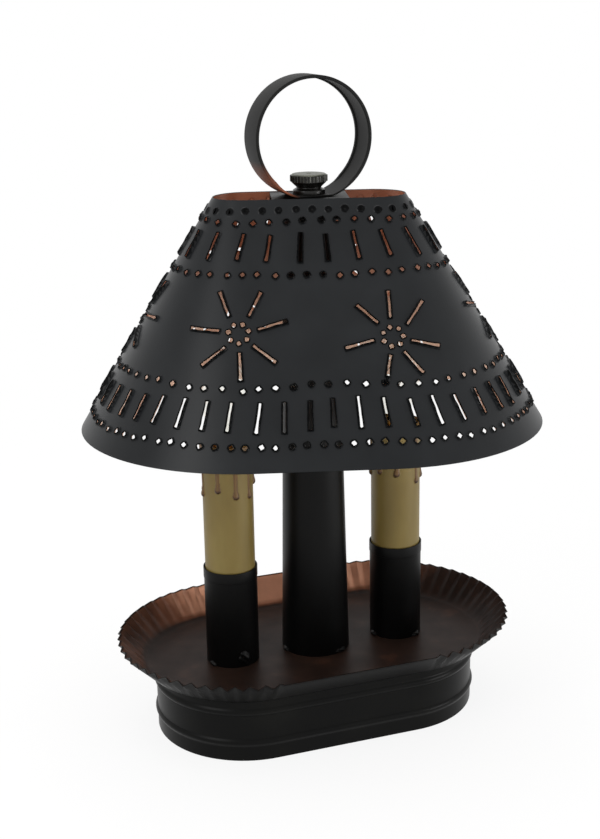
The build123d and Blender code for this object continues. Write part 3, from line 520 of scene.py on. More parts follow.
fold_at, fold_by, wear_and_sheen_shares = [], [], []
uneven = random.Random(7)
strength = [uneven.uniform(LEAST_FOLD, MOST_FOLD) for _ in range(4 * FLUTES + 8)]
for vert in dish.data.vertices:
    x, y, z = vert.co / MM
    side = 1 if x > 0 else -1
    reach = Vector((max(abs(x) - BASE_HALF, 0) * side, y))
    angle = math.atan2(side * y, abs(x) - BASE_HALF)
    along = (angle / math.pi + 0.5) * FLUTES
    rise = share_of(reach.length, TRAY_CREASE, TRAY_RIM - TRAY_CREASE)
    on_end = abs(x) > BASE_HALF and PLAIN_END < along < FLUTES - PLAIN_END
    fold_at.append(along)
    fold_by.append(rise * strength[int(along * 2) + (2 * FLUTES if side > 0 else 0)] if on_end else 0.0)
    facing = reach.normalized() if reach.length > 1 else Vector((0, 0))
    # Wear, plus painted sheen: brighter where the flare faces the back, and at the left end.
    copper_share = WALL_RUB - LEFT_SHEEN * facing.x + BACK_SHEEN * max(facing.y, 0) ** BACK_SHEEN_FOCUS
    faded_wear_and_sheen = FLOOR_RUB + (copper_share - FLOOR_RUB) * min(rise / RUB_FADE, 1)
    wear_and_sheen_shares.append(0.0 if rise > RIM_PAINTED else faded_wear_and_sheen)
carry(dish, "fold_at", fold_at)
carry(dish, "fold_by", fold_by)
carry(dish, "rubbed", wear_and_sheen_shares)
print("tray dish:", len(dish.data.vertices), "points,", FLUTES, "flutes on each end")

# %% [markdown]
# ## Drip tray: the crimps
# A tree pushes each point square to the flare by a zigzag, so that the rim also runs up and down. Its
# sums are a short list: a name, the sum, and the numbers or earlier names that go into it. The zigzag is
# the arc sine of a cosine, and drawing the cosine in a little blunts the folds, as bent tin is.

# %% Crimp the tray
BLUNT, FACES_DOWN = 0.94, -0.05
crimp_sizes = {"Fold depth": FLUTE_DEPTH * MM, "Half straight": BASE_HALF * MM, "Lean": lean}
tree, sizes = new_tree("crimp the tray", crimp_sizes)
known = {key: sizes[key] for key in crimp_sizes}
for key in ("fold_at", "fold_by"):
    known[key] = add(tree, "GeometryNodeInputNamedAttribute", {"Name": key}, data_type="FLOAT")
place = add(tree, "ShaderNodeSeparateXYZ", {0: add(tree, "GeometryNodeInputPosition")}).outputs
known.update({"x": place[0], "y": place[1]})
crimp_sums = (
    ("turn", "MULTIPLY", "fold_at", 2 * math.pi), ("wave", "COSINE", "turn"),
    ("blunted", "MULTIPLY", "wave", BLUNT), ("zigzag", "ARCSINE", "blunted"),
    ("half depth", "MULTIPLY", "Fold depth", 1 / math.pi), ("swing", "MULTIPLY", "zigzag", "half depth"),
    ("push", "MULTIPLY", "swing", "fold_by"), ("side", "SIGN", "x"),
    ("middle", "MULTIPLY", "side", "Half straight"), ("across", "SUBTRACT", "x", "middle"),
    ("dip", "MULTIPLY", "Lean", -1.0),
)
for name, operation, *inputs in crimp_sums:
    fed = {i: known.get(value, value) for i, value in enumerate(inputs)}
    known[name] = add(tree, "ShaderNodeMath", fed, operation=operation)
outward = add(tree, "ShaderNodeCombineXYZ", {0: known["across"], 1: known["y"]})
direction = add(tree, "ShaderNodeVectorMath", {0: outward}, operation="NORMALIZE")
downward = add(tree, "ShaderNodeCombineXYZ", {2: known["dip"]})
slanted = add(tree, "ShaderNodeVectorMath", {0: direction, 1: downward}, operation="ADD")
square = add(tree, "ShaderNodeVectorMath", {0: slanted}, operation="NORMALIZE")
move = add(tree, "ShaderNodeVectorMath", {0: square, "Scale": known["push"]}, operation="SCALE")
folded = add(tree, "GeometryNodeSetPosition", {"Geometry": sizes["Geometry"], "Offset": move})
end_tree(tree, folded, tray_wear_and_sheen_tin)
run_tree(dish, tree, crimp_sizes)
dish.data.materials.append(black_tin)
for face in dish.data.polygons:
    face.material_index = 1 if face.normal.z < FACES_DOWN else 0
fit(dish, "base", "black_tin", "drip_tray", crease=30)

# %% [markdown]
# ## Column and candle cups
# Column and cups are rolled tubes with a lapped seam, turned to the back. Plain cylinders would have no
# seam and no hem, so a turned skin makes them: its radius swells across the lap.

# %% Column and candle cups
LAP_HALF_ANGLE = 14
COLUMN_FOOT, COLUMN_HEAD, COLUMN_LAP = 15.25, 11.1, 0.4
CUP_RADIUS, CUP_WALL, CUP_TOP, CUP_HEM, CUP_HEM_PROUD = 11.9, 0.4, 75.0, 4.8, 0.2
CUP_LAP, CUP_LAP_ANGLE = 0.15, 70
CANDLES = {"left": -39.5, "right": 39.5}
TRAY_TOP = TRAY_FLOOR + SHEET


def turned(section, x=0.0, steps=96, lap=0.0, lap_angle=90):
    """Rows of points for a section of (radius, height) turned about an upright axis at x."""
    rows = []
    for radius, height in section:
        row = []
        for k in range(steps):
            angle = 2 * math.pi * k / steps
            off = abs((math.degrees(angle) - lap_angle + 180) % 360 - 180)
            r = radius + (lap if off < LAP_HALF_ANGLE and radius > 0 else 0.0)
            row.append((x + r * math.cos(angle), r * math.sin(angle), height))
        rows.append(row)
    return rows


column_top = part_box("centre_column")[1].z / MM
column_section = soften([(COLUMN_FOOT, TRAY_TOP, 0.1), (COLUMN_HEAD, column_top, 0.2),
                         (COLUMN_HEAD - SHEET, column_top, 0.2), (COLUMN_FOOT - SHEET, TRAY_TOP, 0.1)], 3)
column = new_piece("centre_column_tube", *skin(turned(column_section, lap=COLUMN_LAP)), tube_black)
fit(column, "base", "black_tin", "centre_column")

cup_side, cup_bore = CUP_RADIUS - CUP_HEM_PROUD, CUP_RADIUS - CUP_WALL
cup_section = soften([(cup_side, TRAY_TOP, 0.1), (cup_side, CUP_TOP - CUP_HEM, 0.08),
                      (CUP_RADIUS, CUP_TOP - CUP_HEM + EDGE, 0.1), (CUP_RADIUS, CUP_TOP, 0.2),
                      (cup_bore, CUP_TOP, 0.2), (cup_bore, TRAY_TOP, 0)], 3)
for name, x in CANDLES.items():
    cup_rows = turned(cup_section, x, lap=CUP_LAP, lap_angle=CUP_LAP_ANGLE)
    cup = new_piece(f"{name}_candle_cup_tube", *skin(cup_rows), tube_black)
    fit(cup, "base", "black_tin", f"{name}_candle_cup")

# %% [markdown]
# ## Solder at the feet
# Cups and column are soldered to the tray from above, which leaves a few flattened lumps on their feet,
# painted over with the rest. Each lump is a ball pressed against the wall, with a seeded, uneven skin.
# A row of the table is a foot: where its axis is, the radius of its wall, and its lumps. A lump is a turn
# round the foot, a height above the tray, and half its width, height and thickness.

# %% Solder lumps
LUMPY, RIPPLE, LAST_PHASE, FOOT_LEAN = 0.16, 0.08, 6, 0.05
SOLDER = (
    (CANDLES["left"], cup_side,
     ((-81, 4.4, 2.6, 3.2, 1.3), (95, 1.2, 3.2, 1.3, 1.2), (205, 0.9, 2.0, 1.1, 1.1))),
    (0.0, COLUMN_FOOT - FOOT_LEAN,
     ((-63, 1.2, 2.8, 1.2, 1.3), (80, 1.0, 3.4, 1.1, 1.2), (190, 0.9, 2.4, 1.0, 1.1))),
    (CANDLES["right"], cup_side,
     ((-60, 1.0, 2.6, 1.1, 1.2), (100, 1.1, 3.0, 1.2, 1.2), (-170, 0.9, 2.2, 1.0, 1.1))),
)


def solder_lump(x, radius, turn, foot, wide, tall, thick, phase):
    """Points and faces of one lump on a wall of this radius about x."""
    ball = bmesh.new()
    bmesh.ops.create_icosphere(ball, subdivisions=4, radius=1.0)
    points = []
    for across, out, up in (vert.co for vert in ball.verts):
        swell = LUMPY * math.sin(3.3 * across + phase) * math.cos(2.9 * up - phase)
        lump = 1 + swell + RIPPLE * math.sin(7 * up + 5 * across)
        angle = math.radians(turn) + across * wide * lump / radius
        r = radius + out * thick * lump
        points.append((x + r * math.cos(angle), r * math.sin(angle), TRAY_TOP + foot + up * tall * lump))
    faces = [tuple(v.index for v in face.verts) for face in ball.faces]
    ball.free()
    return points, faces


def gather(parts):
    """One set of points and faces out of several."""
    points, faces = [], []
    for more, corners in parts:
        faces += [tuple(i + len(points) for i in face) for face in corners]
        points += more
    return points, faces


draw = random.Random(11)
lumps = [solder_lump(x, radius, *lump, draw.uniform(0, LAST_PHASE))
         for x, radius, foot_lumps in SOLDER for lump in foot_lumps]
beads = new_piece("solder_beads", *gather(lumps), tube_black)
fit(beads, "base", "black_tin", crease=80)

# %% [markdown]
# ## Candle sleeves
# Each sleeve is a waxed tube that slips over the socket. Wax runs down from its top in drips of
# different lengths, each thicker at its tip. Separate drips would show a seam, so the tube is one skin
# whose radius is a height field: the drips are added where they run, and each point's stain, with the
# painted shade on the drips' edges and tip feet, goes to the finish as the attribute "drip". A drip is a
# turn round the candle and a length.

# %% Candle sleeves
SLEEVE_RADIUS, SLEEVE_WALL, SLEEVE_TOP, SLEEVE_EDGE = 11.0, 0.8, 132.1, 0.5
DRIP_FROM, DRIP_HALF, TIP_HALF, TIP_LENGTH = SLEEVE_TOP - 1.5, 0.9, 1.45, 1.7
DRIP_PROUD, TIP_PROUD, SPREAD_FROM, SPREAD = 0.5, 0.55, 8, 0.02
WOBBLE, WOBBLE_LENGTH, DRIP_REACH = 0.14, 2.6, 3
RUN_STAIN, TIP_FOOT_SHADE, SIDE_SHADE, COLLAR_STAIN, TIP_SHADE_FROM = 0.45, 0.55, 0.2, 0.5, 0.45
COLLAR_DEPTH, COLLAR_FADE, COLLAR_PROUD, COLLAR_WAVE = 3.5, 1.2, 0.7, 1.6
DRIPS = {
    "left": ((20, 19.0), (62, 22.0), (100, 17.0), (143, 21.0), (181.5, 20.9),
             (230.5, 17.6), (271.5, 20.6), (308.5, 21.5), (341.5, 16.8)),
    "right": ((15, 20.0), (55, 18.0), (95, 22.0), (130, 19.0), (166.5, 22.2),
              (206.5, 19.9), (249.5, 20.5), (302.5, 24.8), (334.5, 23.7)),
}


def wax_at(angle, height, drips):
    """How far the wax stands out here, and how dark its stain and painted shade make it."""
    proud, stain_and_shade = 0.0, 0.0
    for turn, length in drips:
        off = math.radians((angle - turn + 180) % 360 - 180) * SLEEVE_RADIUS
        if abs(off) > DRIP_REACH:
            continue
        off += WOBBLE * math.sin(height / WOBBLE_LENGTH + turn)
        above = height - (DRIP_FROM - length)
        tip = math.exp(-(max(above, 0) / TIP_LENGTH) ** 2)
        half = DRIP_HALF + (TIP_HALF - DRIP_HALF) * tip + SPREAD * max(above - SPREAD_FROM, 0)
        share = math.hypot(off, min(above, 0)) / half
        if share < 1:
            proud = max(proud, (DRIP_PROUD + TIP_PROUD * tip) * math.sqrt(1 - share * share))
            # Painted shade: darker at a drip's edges and along the foot of its tip.
            low = share_of(TIP_SHADE_FROM - above, 0, 1)
            stain_and_shade = max(stain_and_shade, RUN_STAIN + TIP_FOOT_SHADE * low + SIDE_SHADE * share)
    waves = COLLAR_WAVE * math.sin(math.radians(angle * 5)) + math.sin(math.radians(angle * 3))
    collar = share_of(height, SLEEVE_TOP - COLLAR_DEPTH - waves, COLLAR_FADE)
    return max(proud, COLLAR_PROUD * collar), min(max(stain_and_shade, COLLAR_STAIN * collar), 1.0)


def ring_row(x, radii, height):
    """One row of points round a candle, with a radius for each."""
    turns = [2 * math.pi * k / len(radii) for k in range(len(radii))]
    return [(x + r * math.cos(a), r * math.sin(a), height) for r, a in zip(radii, turns)]


WAX_STEPS, WAX_ROWS, DRIP_ZONE = 264, 92, 103.0
drip_step = (SLEEVE_TOP - SLEEVE_EDGE - DRIP_ZONE) / WAX_ROWS
wax_heights = [TRAY_TOP, 60.0, 76.0, 90.0] + [DRIP_ZONE + drip_step * k for k in range(WAX_ROWS + 1)]
bore = SLEEVE_RADIUS - SLEEVE_WALL
wax_inside = ((SLEEVE_RADIUS, SLEEVE_TOP), (bore + 0.4, SLEEVE_TOP), (bore, SLEEVE_TOP - SLEEVE_EDGE),
              (bore, 100.0), (bore, TRAY_TOP))
for name, x in CANDLES.items():
    rows, stains_and_shade = [], []
    for z in wax_heights:
        wax = [wax_at(360 * k / WAX_STEPS, z, DRIPS[name]) for k in range(WAX_STEPS)]
        rows.append(ring_row(x, [SLEEVE_RADIUS + proud for proud, stain_and_shade in wax], z))
        stains_and_shade += [stain_and_shade for proud, stain_and_shade in wax]
    rows += [ring_row(x, [radius] * WAX_STEPS, z) for radius, z in wax_inside]
    stains_and_shade += [0.0] * WAX_STEPS * len(wax_inside)
    sleeve = new_piece(f"{name}_candle_sleeve_wax", *skin(rows), candle_wax)
    carry(sleeve, "drip", stains_and_shade)
    fit(sleeve, f"{name}_sleeve", "candle_wax", f"{name}_candle_sleeve", crease=60)

# %% [markdown]
# ## Bulbs: glass and cap
# Small candelabra bulbs: a brass screw cap with rolled threads, a black insulator with its contact tip,
# and a blown envelope drawn to a rounded point. The envelope is a real shell, so light bends through
# both of its faces.

# %% Bulb envelope and screw cap
CAP_BOTTOM, GLASS_BOTTOM, GLASS_BELLY, GLASS_TOP = 114.0, 133.0, 149.8, 173.0
GLASS_NECK, GLASS_RADIUS, GLASS_WALL = 5.6, 11.0, 0.7
NECK_CURVE, SIDE_CURVE, TIP_CURVE = 6.0, 8.0, 12.0
CAP_RADIUS, CAP_BORE, CAP_FLOOR, CAP_FOOT = 5.95, 4.6, 4.0, 0.4
THREAD_RADIUS, THREAD_DEPTH, THREAD_TURNS = 5.55, 0.4, 4.5
THREAD_FROM, THREAD_LENGTH, THREAD_STEPS = 1.0, 14.0, 60


def bezier(a, b, c, d, steps):
    """Points on a curve through a and d, drawn towards b and c."""
    spots = []
    for k in range(steps + 1):
        t = k / steps
        weights = ((1 - t) ** 3, 3 * t * (1 - t) ** 2, 3 * t * t * (1 - t), t ** 3)
        spots.append(tuple(sum(w * p[i] for w, p in zip(weights, (a, b, c, d))) for i in (0, 1)))
    return spots


def envelope(inset):
    """Half section of the glass, from its neck to its tip."""
    neck, wide, tip = GLASS_NECK - inset, GLASS_RADIUS - inset, GLASS_TOP - inset
    low = bezier((neck, GLASS_BOTTOM), (neck, GLASS_BOTTOM + NECK_CURVE), (wide, GLASS_BELLY - SIDE_CURVE),
                 (wide, GLASS_BELLY), 14)
    high = bezier((wide, GLASS_BELLY), (wide, GLASS_BELLY + TIP_CURVE), (wide / 3, tip), (0, tip), 22)
    return low + high[1:]


thread = []
for t in (k / THREAD_STEPS for k in range(THREAD_STEPS + 1)):
    wave = math.sin(2 * math.pi * THREAD_TURNS * t)
    thread.append((THREAD_RADIUS + THREAD_DEPTH * wave, CAP_BOTTOM + THREAD_FROM + THREAD_LENGTH * t))
cap_section = [(0, CAP_BOTTOM + CAP_FOOT), (5.0, CAP_BOTTOM + CAP_FOOT)] + thread
cap_section += [(CAP_RADIUS, CAP_BOTTOM + 15.6), (CAP_RADIUS, GLASS_BOTTOM - 0.3), (5.7, GLASS_BOTTOM),
                (CAP_BORE, GLASS_BOTTOM), (CAP_BORE, CAP_BOTTOM + CAP_FLOOR), (0, CAP_BOTTOM + CAP_FLOOR)]
tip_section = [(r, CAP_BOTTOM + z) for r, z in ((0, -2.5), (0.9, -2.4), (1.5, -1.8), (1.6, -1.1), (1.7, -0.9),
                                                (3.8, 0), (4.9, 0.5), (0, 0.5))]
glass_section = envelope(0) + envelope(GLASS_WALL)[::-1]
for name, x in CANDLES.items():
    glass = new_piece(f"{name}_bulb_envelope", *skin(turned(glass_section, x, 72)), bulb_glass)
    fit(glass, f"{name}_bulb", "clear_glass", f"{name}_bulb_glass", crease=60)
    cap_rows = turned(cap_section, x, 64)
    cap = new_piece(f"{name}_bulb_screw_cap", *skin(cap_rows, along=False), finishes["brass"])
    fit(cap, f"{name}_bulb", "brass", f"{name}_bulb_cap", crease=50)
    tip_rows = turned(tip_section, x, 40)
    tip = new_piece(f"{name}_bulb_contact_tip", *skin(tip_rows, along=False), finishes["ceramic"])
    fit(tip, f"{name}_bulb", "black_plastic")

# %% [markdown]
# ## Bulbs: stem and filament
# Inside the glass a drawn stem carries two lead wires and a coiled filament. The stem is turned. The wires
# are thin tubes along short lines, and the filament is a coil hung in a shallow arch between them. Curves
# with a round bevel could make the wires too, but these skins close at both ends.

# %% Bulb stem and filament
FILAMENT_HALF, FILAMENT_RISE, ARCH_RISE, COIL_RADIUS, COIL_TURNS, COIL_STEPS = 4.4, 22.0, 2.5, 0.35, 22, 180
FILAMENT_WIRE, LEAD_WIRE, LEAD_STEPS, MOSTLY_Y = 0.09, 0.2, 14, 0.9
stem_section = [(r, GLASS_BOTTOM + z) for r, z in ((0, 0), (2.2, 0), (1.9, 5), (1.4, 11), (1.35, 13.6),
                                                   (0.7, 14.5), (0, 14.5))]


def wire(line, radius, sides=8):
    """Rows of points for a round wire along a line of points, drawn shut at both ends."""
    rows = []
    for i, here in enumerate(line):
        before, after = line[max(i - 1, 0)], line[min(i + 1, len(line) - 1)]
        run = (after - before).normalized()
        guide = Vector((0, 1, 0)) if abs(run.y) < MOSTLY_Y else Vector((1, 0, 0))
        across = run.cross(guide).normalized()
        upward = run.cross(across)
        turns = [2 * math.pi * k / sides for k in range(sides)]
        rows.append([tuple(here + (across * math.cos(a) + upward * math.sin(a)) * radius) for a in turns])
    return [[tuple(line[0])] * sides] + rows + [[tuple(line[-1])] * sides]


arch_foot = GLASS_BOTTOM + FILAMENT_RISE
lead_run = bezier((0.6, GLASS_BOTTOM + 12), (0.8, GLASS_BOTTOM + 15), (3.8, GLASS_BOTTOM + 17),
                  (FILAMENT_HALF, arch_foot), LEAD_STEPS)
for name, x in CANDLES.items():
    stem = new_piece(f"{name}_bulb_glass_stem", *skin(turned(stem_section, x, 32), along=False), bulb_glass)
    fit(stem, f"{name}_bulb", "clear_glass", f"{name}_bulb_stem")
    coil = []
    for t in (k / COIL_STEPS for k in range(COIL_STEPS + 1)):
        arch = arch_foot + ARCH_RISE * math.sin(math.pi * t)
        spin = 2 * math.pi * COIL_TURNS * t
        coil.append(Vector((x + FILAMENT_HALF * (2 * t - 1), COIL_RADIUS * math.cos(spin),
                            arch + COIL_RADIUS * math.sin(spin))))
    lines = [(coil, FILAMENT_WIRE)]
    for side in (-1, 1):
        lines.append(([Vector((x + side * across, 0, z)) for across, z in lead_run], LEAD_WIRE))
    wires = gather(skin(wire(line, radius), along=False) for line, radius in lines)
    filament = new_piece(f"{name}_bulb_filament", *wires, finishes["tungsten"])
    fit(filament, f"{name}_bulb", "plain_steel")

# %% [markdown]
# ## Punched shade: the pattern
# The shade is one sheet of tin, punched flat from the inside and then rolled. A pattern in the finish
# would let no light through and show no copper, so every hole is real. The pattern is laid out in rows
# of nail dots and chisel slots, with six stars of seven rays between them. The top row is only dimpled,
# not pierced. The slots fan out from above. Each mark has a place along the outline, a place down the
# slope, and a turn. Each row has a place down the slope and a count. Each star has a shift along the
# outline, a place down the slope and the turns of its rays.

# %% Pattern of the shade
SHADE_HALF, SHADE_TOP_RADIUS, SHADE_BOTTOM_RADIUS = 27.5, 13.0, 72.5
SHADE_TOP, SHADE_BOTTOM, SHADE_TURN = 235.0, 137.5, -16.5
SLOPE = math.atan((SHADE_BOTTOM_RADIUS - SHADE_TOP_RADIUS) / (SHADE_TOP - SHADE_BOTTOM))
SLANT = (SHADE_TOP - SHADE_BOTTOM) / math.cos(SLOPE)
ROLL_RADIUS = (SHADE_TOP_RADIUS + SHADE_BOTTOM_RADIUS) / 2
ROWS = {
    "dimple": ((5.0, 31),),
    "dot": ((9.7, 32), (32.8, 46), (79.6, 64), (103.6, 87)),
    "slot": ((21.0, 22), (91.5, 48)),
}
SLOT_LEAN, STAR_DOT_RING, STAR_SLOT_RING = 0.85, 4.1, 13.7
STARS = (
    (0.0, 57.0, (10, 60, 108, 165, 212, 262, 318)),
    (0.0, 57.0, (-4, 50, 97, 150, 204, 252, 300)),
    (0.0, 57.2, (3, 50, 103, 153, 206, 265, 314)),
    (-2.5, 60.3, (-13, 33, 74, 134, 181, 224, 282)),
    (0.0, 57.0, (2, 55, 100, 158, 207, 256, 310)),
    (0.0, 57.0, (-10, 42, 92, 140, 196, 243, 295)),
)


def radius_at(down):
    """Radius of the shade's round ends at a distance down the slope."""
    return SHADE_TOP_RADIUS + down * math.sin(SLOPE)


def outline(down):
    """Length round the shade at a distance down the slope."""
    return 4 * SHADE_HALF + 2 * math.pi * radius_at(down)


def split_run(reach, radius):
    """A run from the front middle as a stretch in front, a turn round the end and a stretch behind."""
    bend = min(max(reach - SHADE_HALF, 0) / radius, math.pi)
    return min(reach, SHADE_HALF), bend, max(reach - SHADE_HALF - math.pi * radius, 0)


def fan_turn(along, down):
    """Lean of a slot: most of the way to the place above the shade where its round ends would meet."""
    front, bend, behind = split_run(abs(along), radius_at(down))
    meeting = (SHADE_HALF + SHADE_TOP_RADIUS) / math.sin(SLOPE) + down
    return math.copysign(SLOT_LEAN, along) * math.atan((front * math.cos(bend) + behind) / meeting)


planned = []
for star, (shift, star_down, rays) in enumerate(STARS):
    middle = outline(star_down) * ((star + 0.5) / len(STARS) - 0.5) + shift
    side = 1 if middle >= 0 else -1
    front, bend, behind = split_run(abs(middle), radius_at(star_down))
    even = [rays[0] + 360 * k / len(rays) for k in range(len(rays))]
    for kind, ring, turns in (("star dot", STAR_DOT_RING, even), ("ray", STAR_SLOT_RING, rays)):
        for angle in (math.radians(turn) for turn in turns):
            down = star_down + ring * math.cos(angle)
            ruling = side * (front + bend * radius_at(down) + behind)
            planned.append((kind, ruling + ring * math.sin(angle), down, angle))
for kind, table in ROWS.items():
    for down, count in table:
        pitch = outline(down) / count
        for along in (pitch * (i + 0.5 - count / 2) for i in range(count)):
            planned.append((kind, along, down, fan_turn(along, down) if kind == "slot" else 0.0))
print(len(planned), "punch marks on the shade")

# %% [markdown]
# ## Punched shade: the hand
# A steady but human hand moves each mark a little, and lets the rows wander. No mark may run into its
# neighbour, so a mark that would is tried again, a little further off each time. `unroll` gives a place
# on the flat sheet, where the round ends have one even radius, and `beside` goes from there along the
# outline and up the slope, so that a mark keeps its shape on the round ends too.

# %% Marks as a hand sets them
HALF_LENGTH = {"dimple": 0.0, "dot": 0.0, "star dot": 0.0, "slot": 6.3, "ray": 6.3}
FOOT_REACH = {"dimple": 2.45, "dot": 2.3, "star dot": 1.5, "slot": 2.0, "ray": 2.0}
SWAY = {"dimple": 0.5, "dot": 0.6, "star dot": 0.08, "slot": 0.6, "ray": 0.25}
SWAY_DOWN, SWAY_EASE, TILT, SHORTEST, LONGEST = 0.7, 15, 3, 0.9, 1.05
WANDER, WANDER_LENGTH, TRIES, NEIGHBOURS = 0.55, 13.0, 60, 24


def unroll(along, down):
    """Place on the flat sheet of a point on the rolled shade."""
    front, bend, behind = split_run(abs(along), radius_at(down))
    return math.copysign(front + bend * ROLL_RADIUS + behind, along), down


def beside(along, down, spin, across, up):
    """Place on the flat sheet of a point beside a mark, measured in the mark's own turned frame."""
    shift = across * math.cos(spin) - up * math.sin(spin)
    level = down - across * math.sin(spin) - up * math.cos(spin)
    start = unroll(along, down)[0]
    front, bend, behind = split_run(abs(start), ROLL_RADIUS)
    ruling = math.copysign(front + bend * radius_at(level) + behind, start)
    return unroll(ruling + shift, level)


def middle_line(along, down, spin, half):
    """Places on the flat sheet along the middle of a mark."""
    shares = (-1, -0.6, -0.2, 0.2, 0.6, 1) if half else (0,)
    return [beside(along, down, spin, 0.0, half * s) for s in shares]


def far_apart(one, other, gap):
    """Whether two places on the flat sheet lie further apart than a gap on the rolled shade."""
    on_end = SHADE_HALF < abs(one[0]) < SHADE_HALF + math.pi * ROLL_RADIUS
    squeeze = radius_at((one[1] + other[1]) / 2) / ROLL_RADIUS if on_end else 1.0
    return math.hypot((one[0] - other[0]) * squeeze, one[1] - other[1]) > gap


hand = random.Random(23)
marks, lines_set, crowded = [], [], 0
for kind, along, down, spin in planned:
    wander = 0.0 if kind in ("star dot", "ray") else WANDER * math.sin(along / WANDER_LENGTH + down)
    for attempt in range(TRIES):
        sway = SWAY[kind] * (1 + attempt / SWAY_EASE)
        trial = (kind, along + hand.uniform(-sway, sway),
                 down + wander + hand.uniform(-sway, sway) * SWAY_DOWN,
                 spin + math.radians(hand.uniform(-TILT, TILT)),
                 HALF_LENGTH[kind] * hand.uniform(SHORTEST, LONGEST))
        line = middle_line(*trial[1:])
        clear = all(far_apart(a, b, FOOT_REACH[kind] + FOOT_REACH[mark[0]])
                    for mark, set_line in zip(marks, lines_set) if abs(mark[2] - down) < NEIGHBOURS
                    for a in line for b in set_line)
        if clear:
            break
    crowded += 0 if clear else 1
    marks.append(trial)
    lines_set.append(line)
print(len(marks), "marks set,", crowded, "of them crowded")

# %% [markdown]
# ## Punched shade: the torn lips
# A nail leaves a ragged hole with a lip of torn tin round it; a chisel leaves a narrow slot between two
# lips. Some four hundred Boolean cuts would be slow and would leave no lips, so the marks are drawn into
# the flat sheet before it is meshed. Each mark becomes four loops: the torn edge, raised; a shoulder; a
# foot that lies flush in the sheet; and a guard just outside it, which keeps the sheet round the mark
# flat. A dimple has a sunk point in its middle instead of a hole. A lip's table says how far out each
# loop lies, and its share of the lift.

# %% Loops round each mark
SLOT_HALF, SLOT_LIFT, SLOT_END_LIFT, SLOT_TAPER, SLOT_WIDEST = 0.66, 1.35, 0.55, 0.14, 0.95
SLOT_WIDTHS, SLOT_HEIGHTS, SLOT_TIP = (0.82, 1.12), (0.8, 1.1), 0.9
DOT_SIZES, DOT_HEIGHTS = (0.92, 1.06), (0.75, 1.1)
DOT_RADIUS = {"dimple": 1.3, "dot": 1.08, "star dot": 1.17}
RAGGED = {"dimple": 0.05, "dot": 0.12, "star dot": 0.08}
DOT_LIFT = {"dimple": 0.45, "dot": 1.0, "star dot": 0.7}
DOT_CORNERS, DIMPLE_SINK, END_GROWTH = 10, 0.7, 0.8
LIP = ((0.0, 1.0), (0.34, 0.86), (0.74, 0.0), (0.95, 0.0))
STAR_LIP = ((0.0, 1.0), (0.12, 0.86), (0.26, 0.0), (0.32, 0.0))


def slot_loops(half, hand):
    """Loops of (across, up, lift) round a slot, from its torn edge to its guard."""
    shares = (0.96, 0.6, 0.2, -0.2, -0.6, -0.96)
    ends = [(0, 1)] + [(1, s) for s in shares] + [(0, -1)] + [(-1, -s) for s in shares]
    wide = [SLOT_HALF * hand.uniform(*SLOT_WIDTHS) * (SLOT_WIDEST - SLOT_TAPER * s) for side, s in ends]
    high = [SLOT_LIFT * (hand.uniform(*SLOT_HEIGHTS) if side else SLOT_END_LIFT) for side, s in ends]
    loops = []
    for grow, share in LIP:
        longer = [math.copysign(grow * END_GROWTH, s) if abs(s) > SLOT_TIP else 0 for side, s in ends]
        loops.append([(side * (w + grow), s * half + more, h * share)
                      for (side, s), w, h, more in zip(ends, wide, high, longer)])
    return loops


def dot_loops(kind, hand):
    """Loops of (across, up, lift) round a dot, from its torn edge to its guard."""
    size, phase = DOT_RADIUS[kind] * hand.uniform(*DOT_SIZES), hand.uniform(0, math.pi / 2)
    ragged = RAGGED[kind]
    turns = [2 * math.pi * k / DOT_CORNERS for k in range(DOT_CORNERS)]
    torn = [size * (1 + ragged * math.cos(4 * turn + phase)) * hand.uniform(1 - ragged, 1 + ragged)
            for turn in turns]
    high = [DOT_LIFT[kind] * hand.uniform(*DOT_HEIGHTS) for _ in turns]
    return [[((r + grow) * math.cos(turn), (r + grow) * math.sin(turn), h * share)
             for turn, r, h in zip(turns, torn, high)]
            for grow, share in (STAR_LIP if kind == "star dot" else LIP)]


flat_points, lifts, edge_of, loop_edges = [], [], [], []
for number, (kind, along, down, spin, half) in enumerate(marks):
    for ring, loop in enumerate(slot_loops(half, hand) if half else dot_loops(kind, hand)):
        first = len(flat_points)
        for across, up, lift in loop:
            flat_points.append(beside(along, down, spin, across, up))
            lifts.append(lift)
            edge_of.append(number if ring == 0 and kind != "dimple" else -1)
        loop_edges += [(first + k, first + (k + 1) % len(loop)) for k in range(len(loop))]
    if kind == "dimple":
        flat_points.append(unroll(along, down))
        lifts.append(-DIMPLE_SINK)
        edge_of.append(-1)
print(len(flat_points), "points round the marks")

# %% [markdown]
# ## Punched shade: a grid between the marks
# The flat sheet needs triangles that respect every loop, plus an even grid so that it can be rolled. The
# grid's points keep clear of the marks, and its border is the edge of the sheet.

# %% Grid between the marks
HALF_SHEET = 2 * SHADE_HALF + math.pi * ROLL_RADIUS
GRID_COLUMNS, GRID_LINES, GRID_GAP, GRID_NEIGHBOURS = 132, 26, 0.9, 12
border = []
for i in range(GRID_COLUMNS + 1):
    for j in range(GRID_LINES + 1):
        spot = (HALF_SHEET * (2 * i / GRID_COLUMNS - 1), SLANT * j / GRID_LINES)
        on_border = i in (0, GRID_COLUMNS) or j in (0, GRID_LINES)
        if on_border:
            border.append((i, j, len(flat_points)))
        elif not all(far_apart(a, spot, FOOT_REACH[mark[0]] + GRID_GAP)
                     for mark, line in zip(marks, lines_set)
                     if abs(mark[2] - spot[1]) < GRID_NEIGHBOURS
                     for a in line):
            continue
        flat_points.append(spot)
        lifts.append(0.0)
        edge_of.append(-1)
for fixed, last in ((0, GRID_COLUMNS), (1, GRID_LINES)):
    for level in (0, last):
        line = [point for *at, point in border if at[fixed] == level]
        loop_edges += list(zip(line, line[1:]))
print("border points:", len(border))

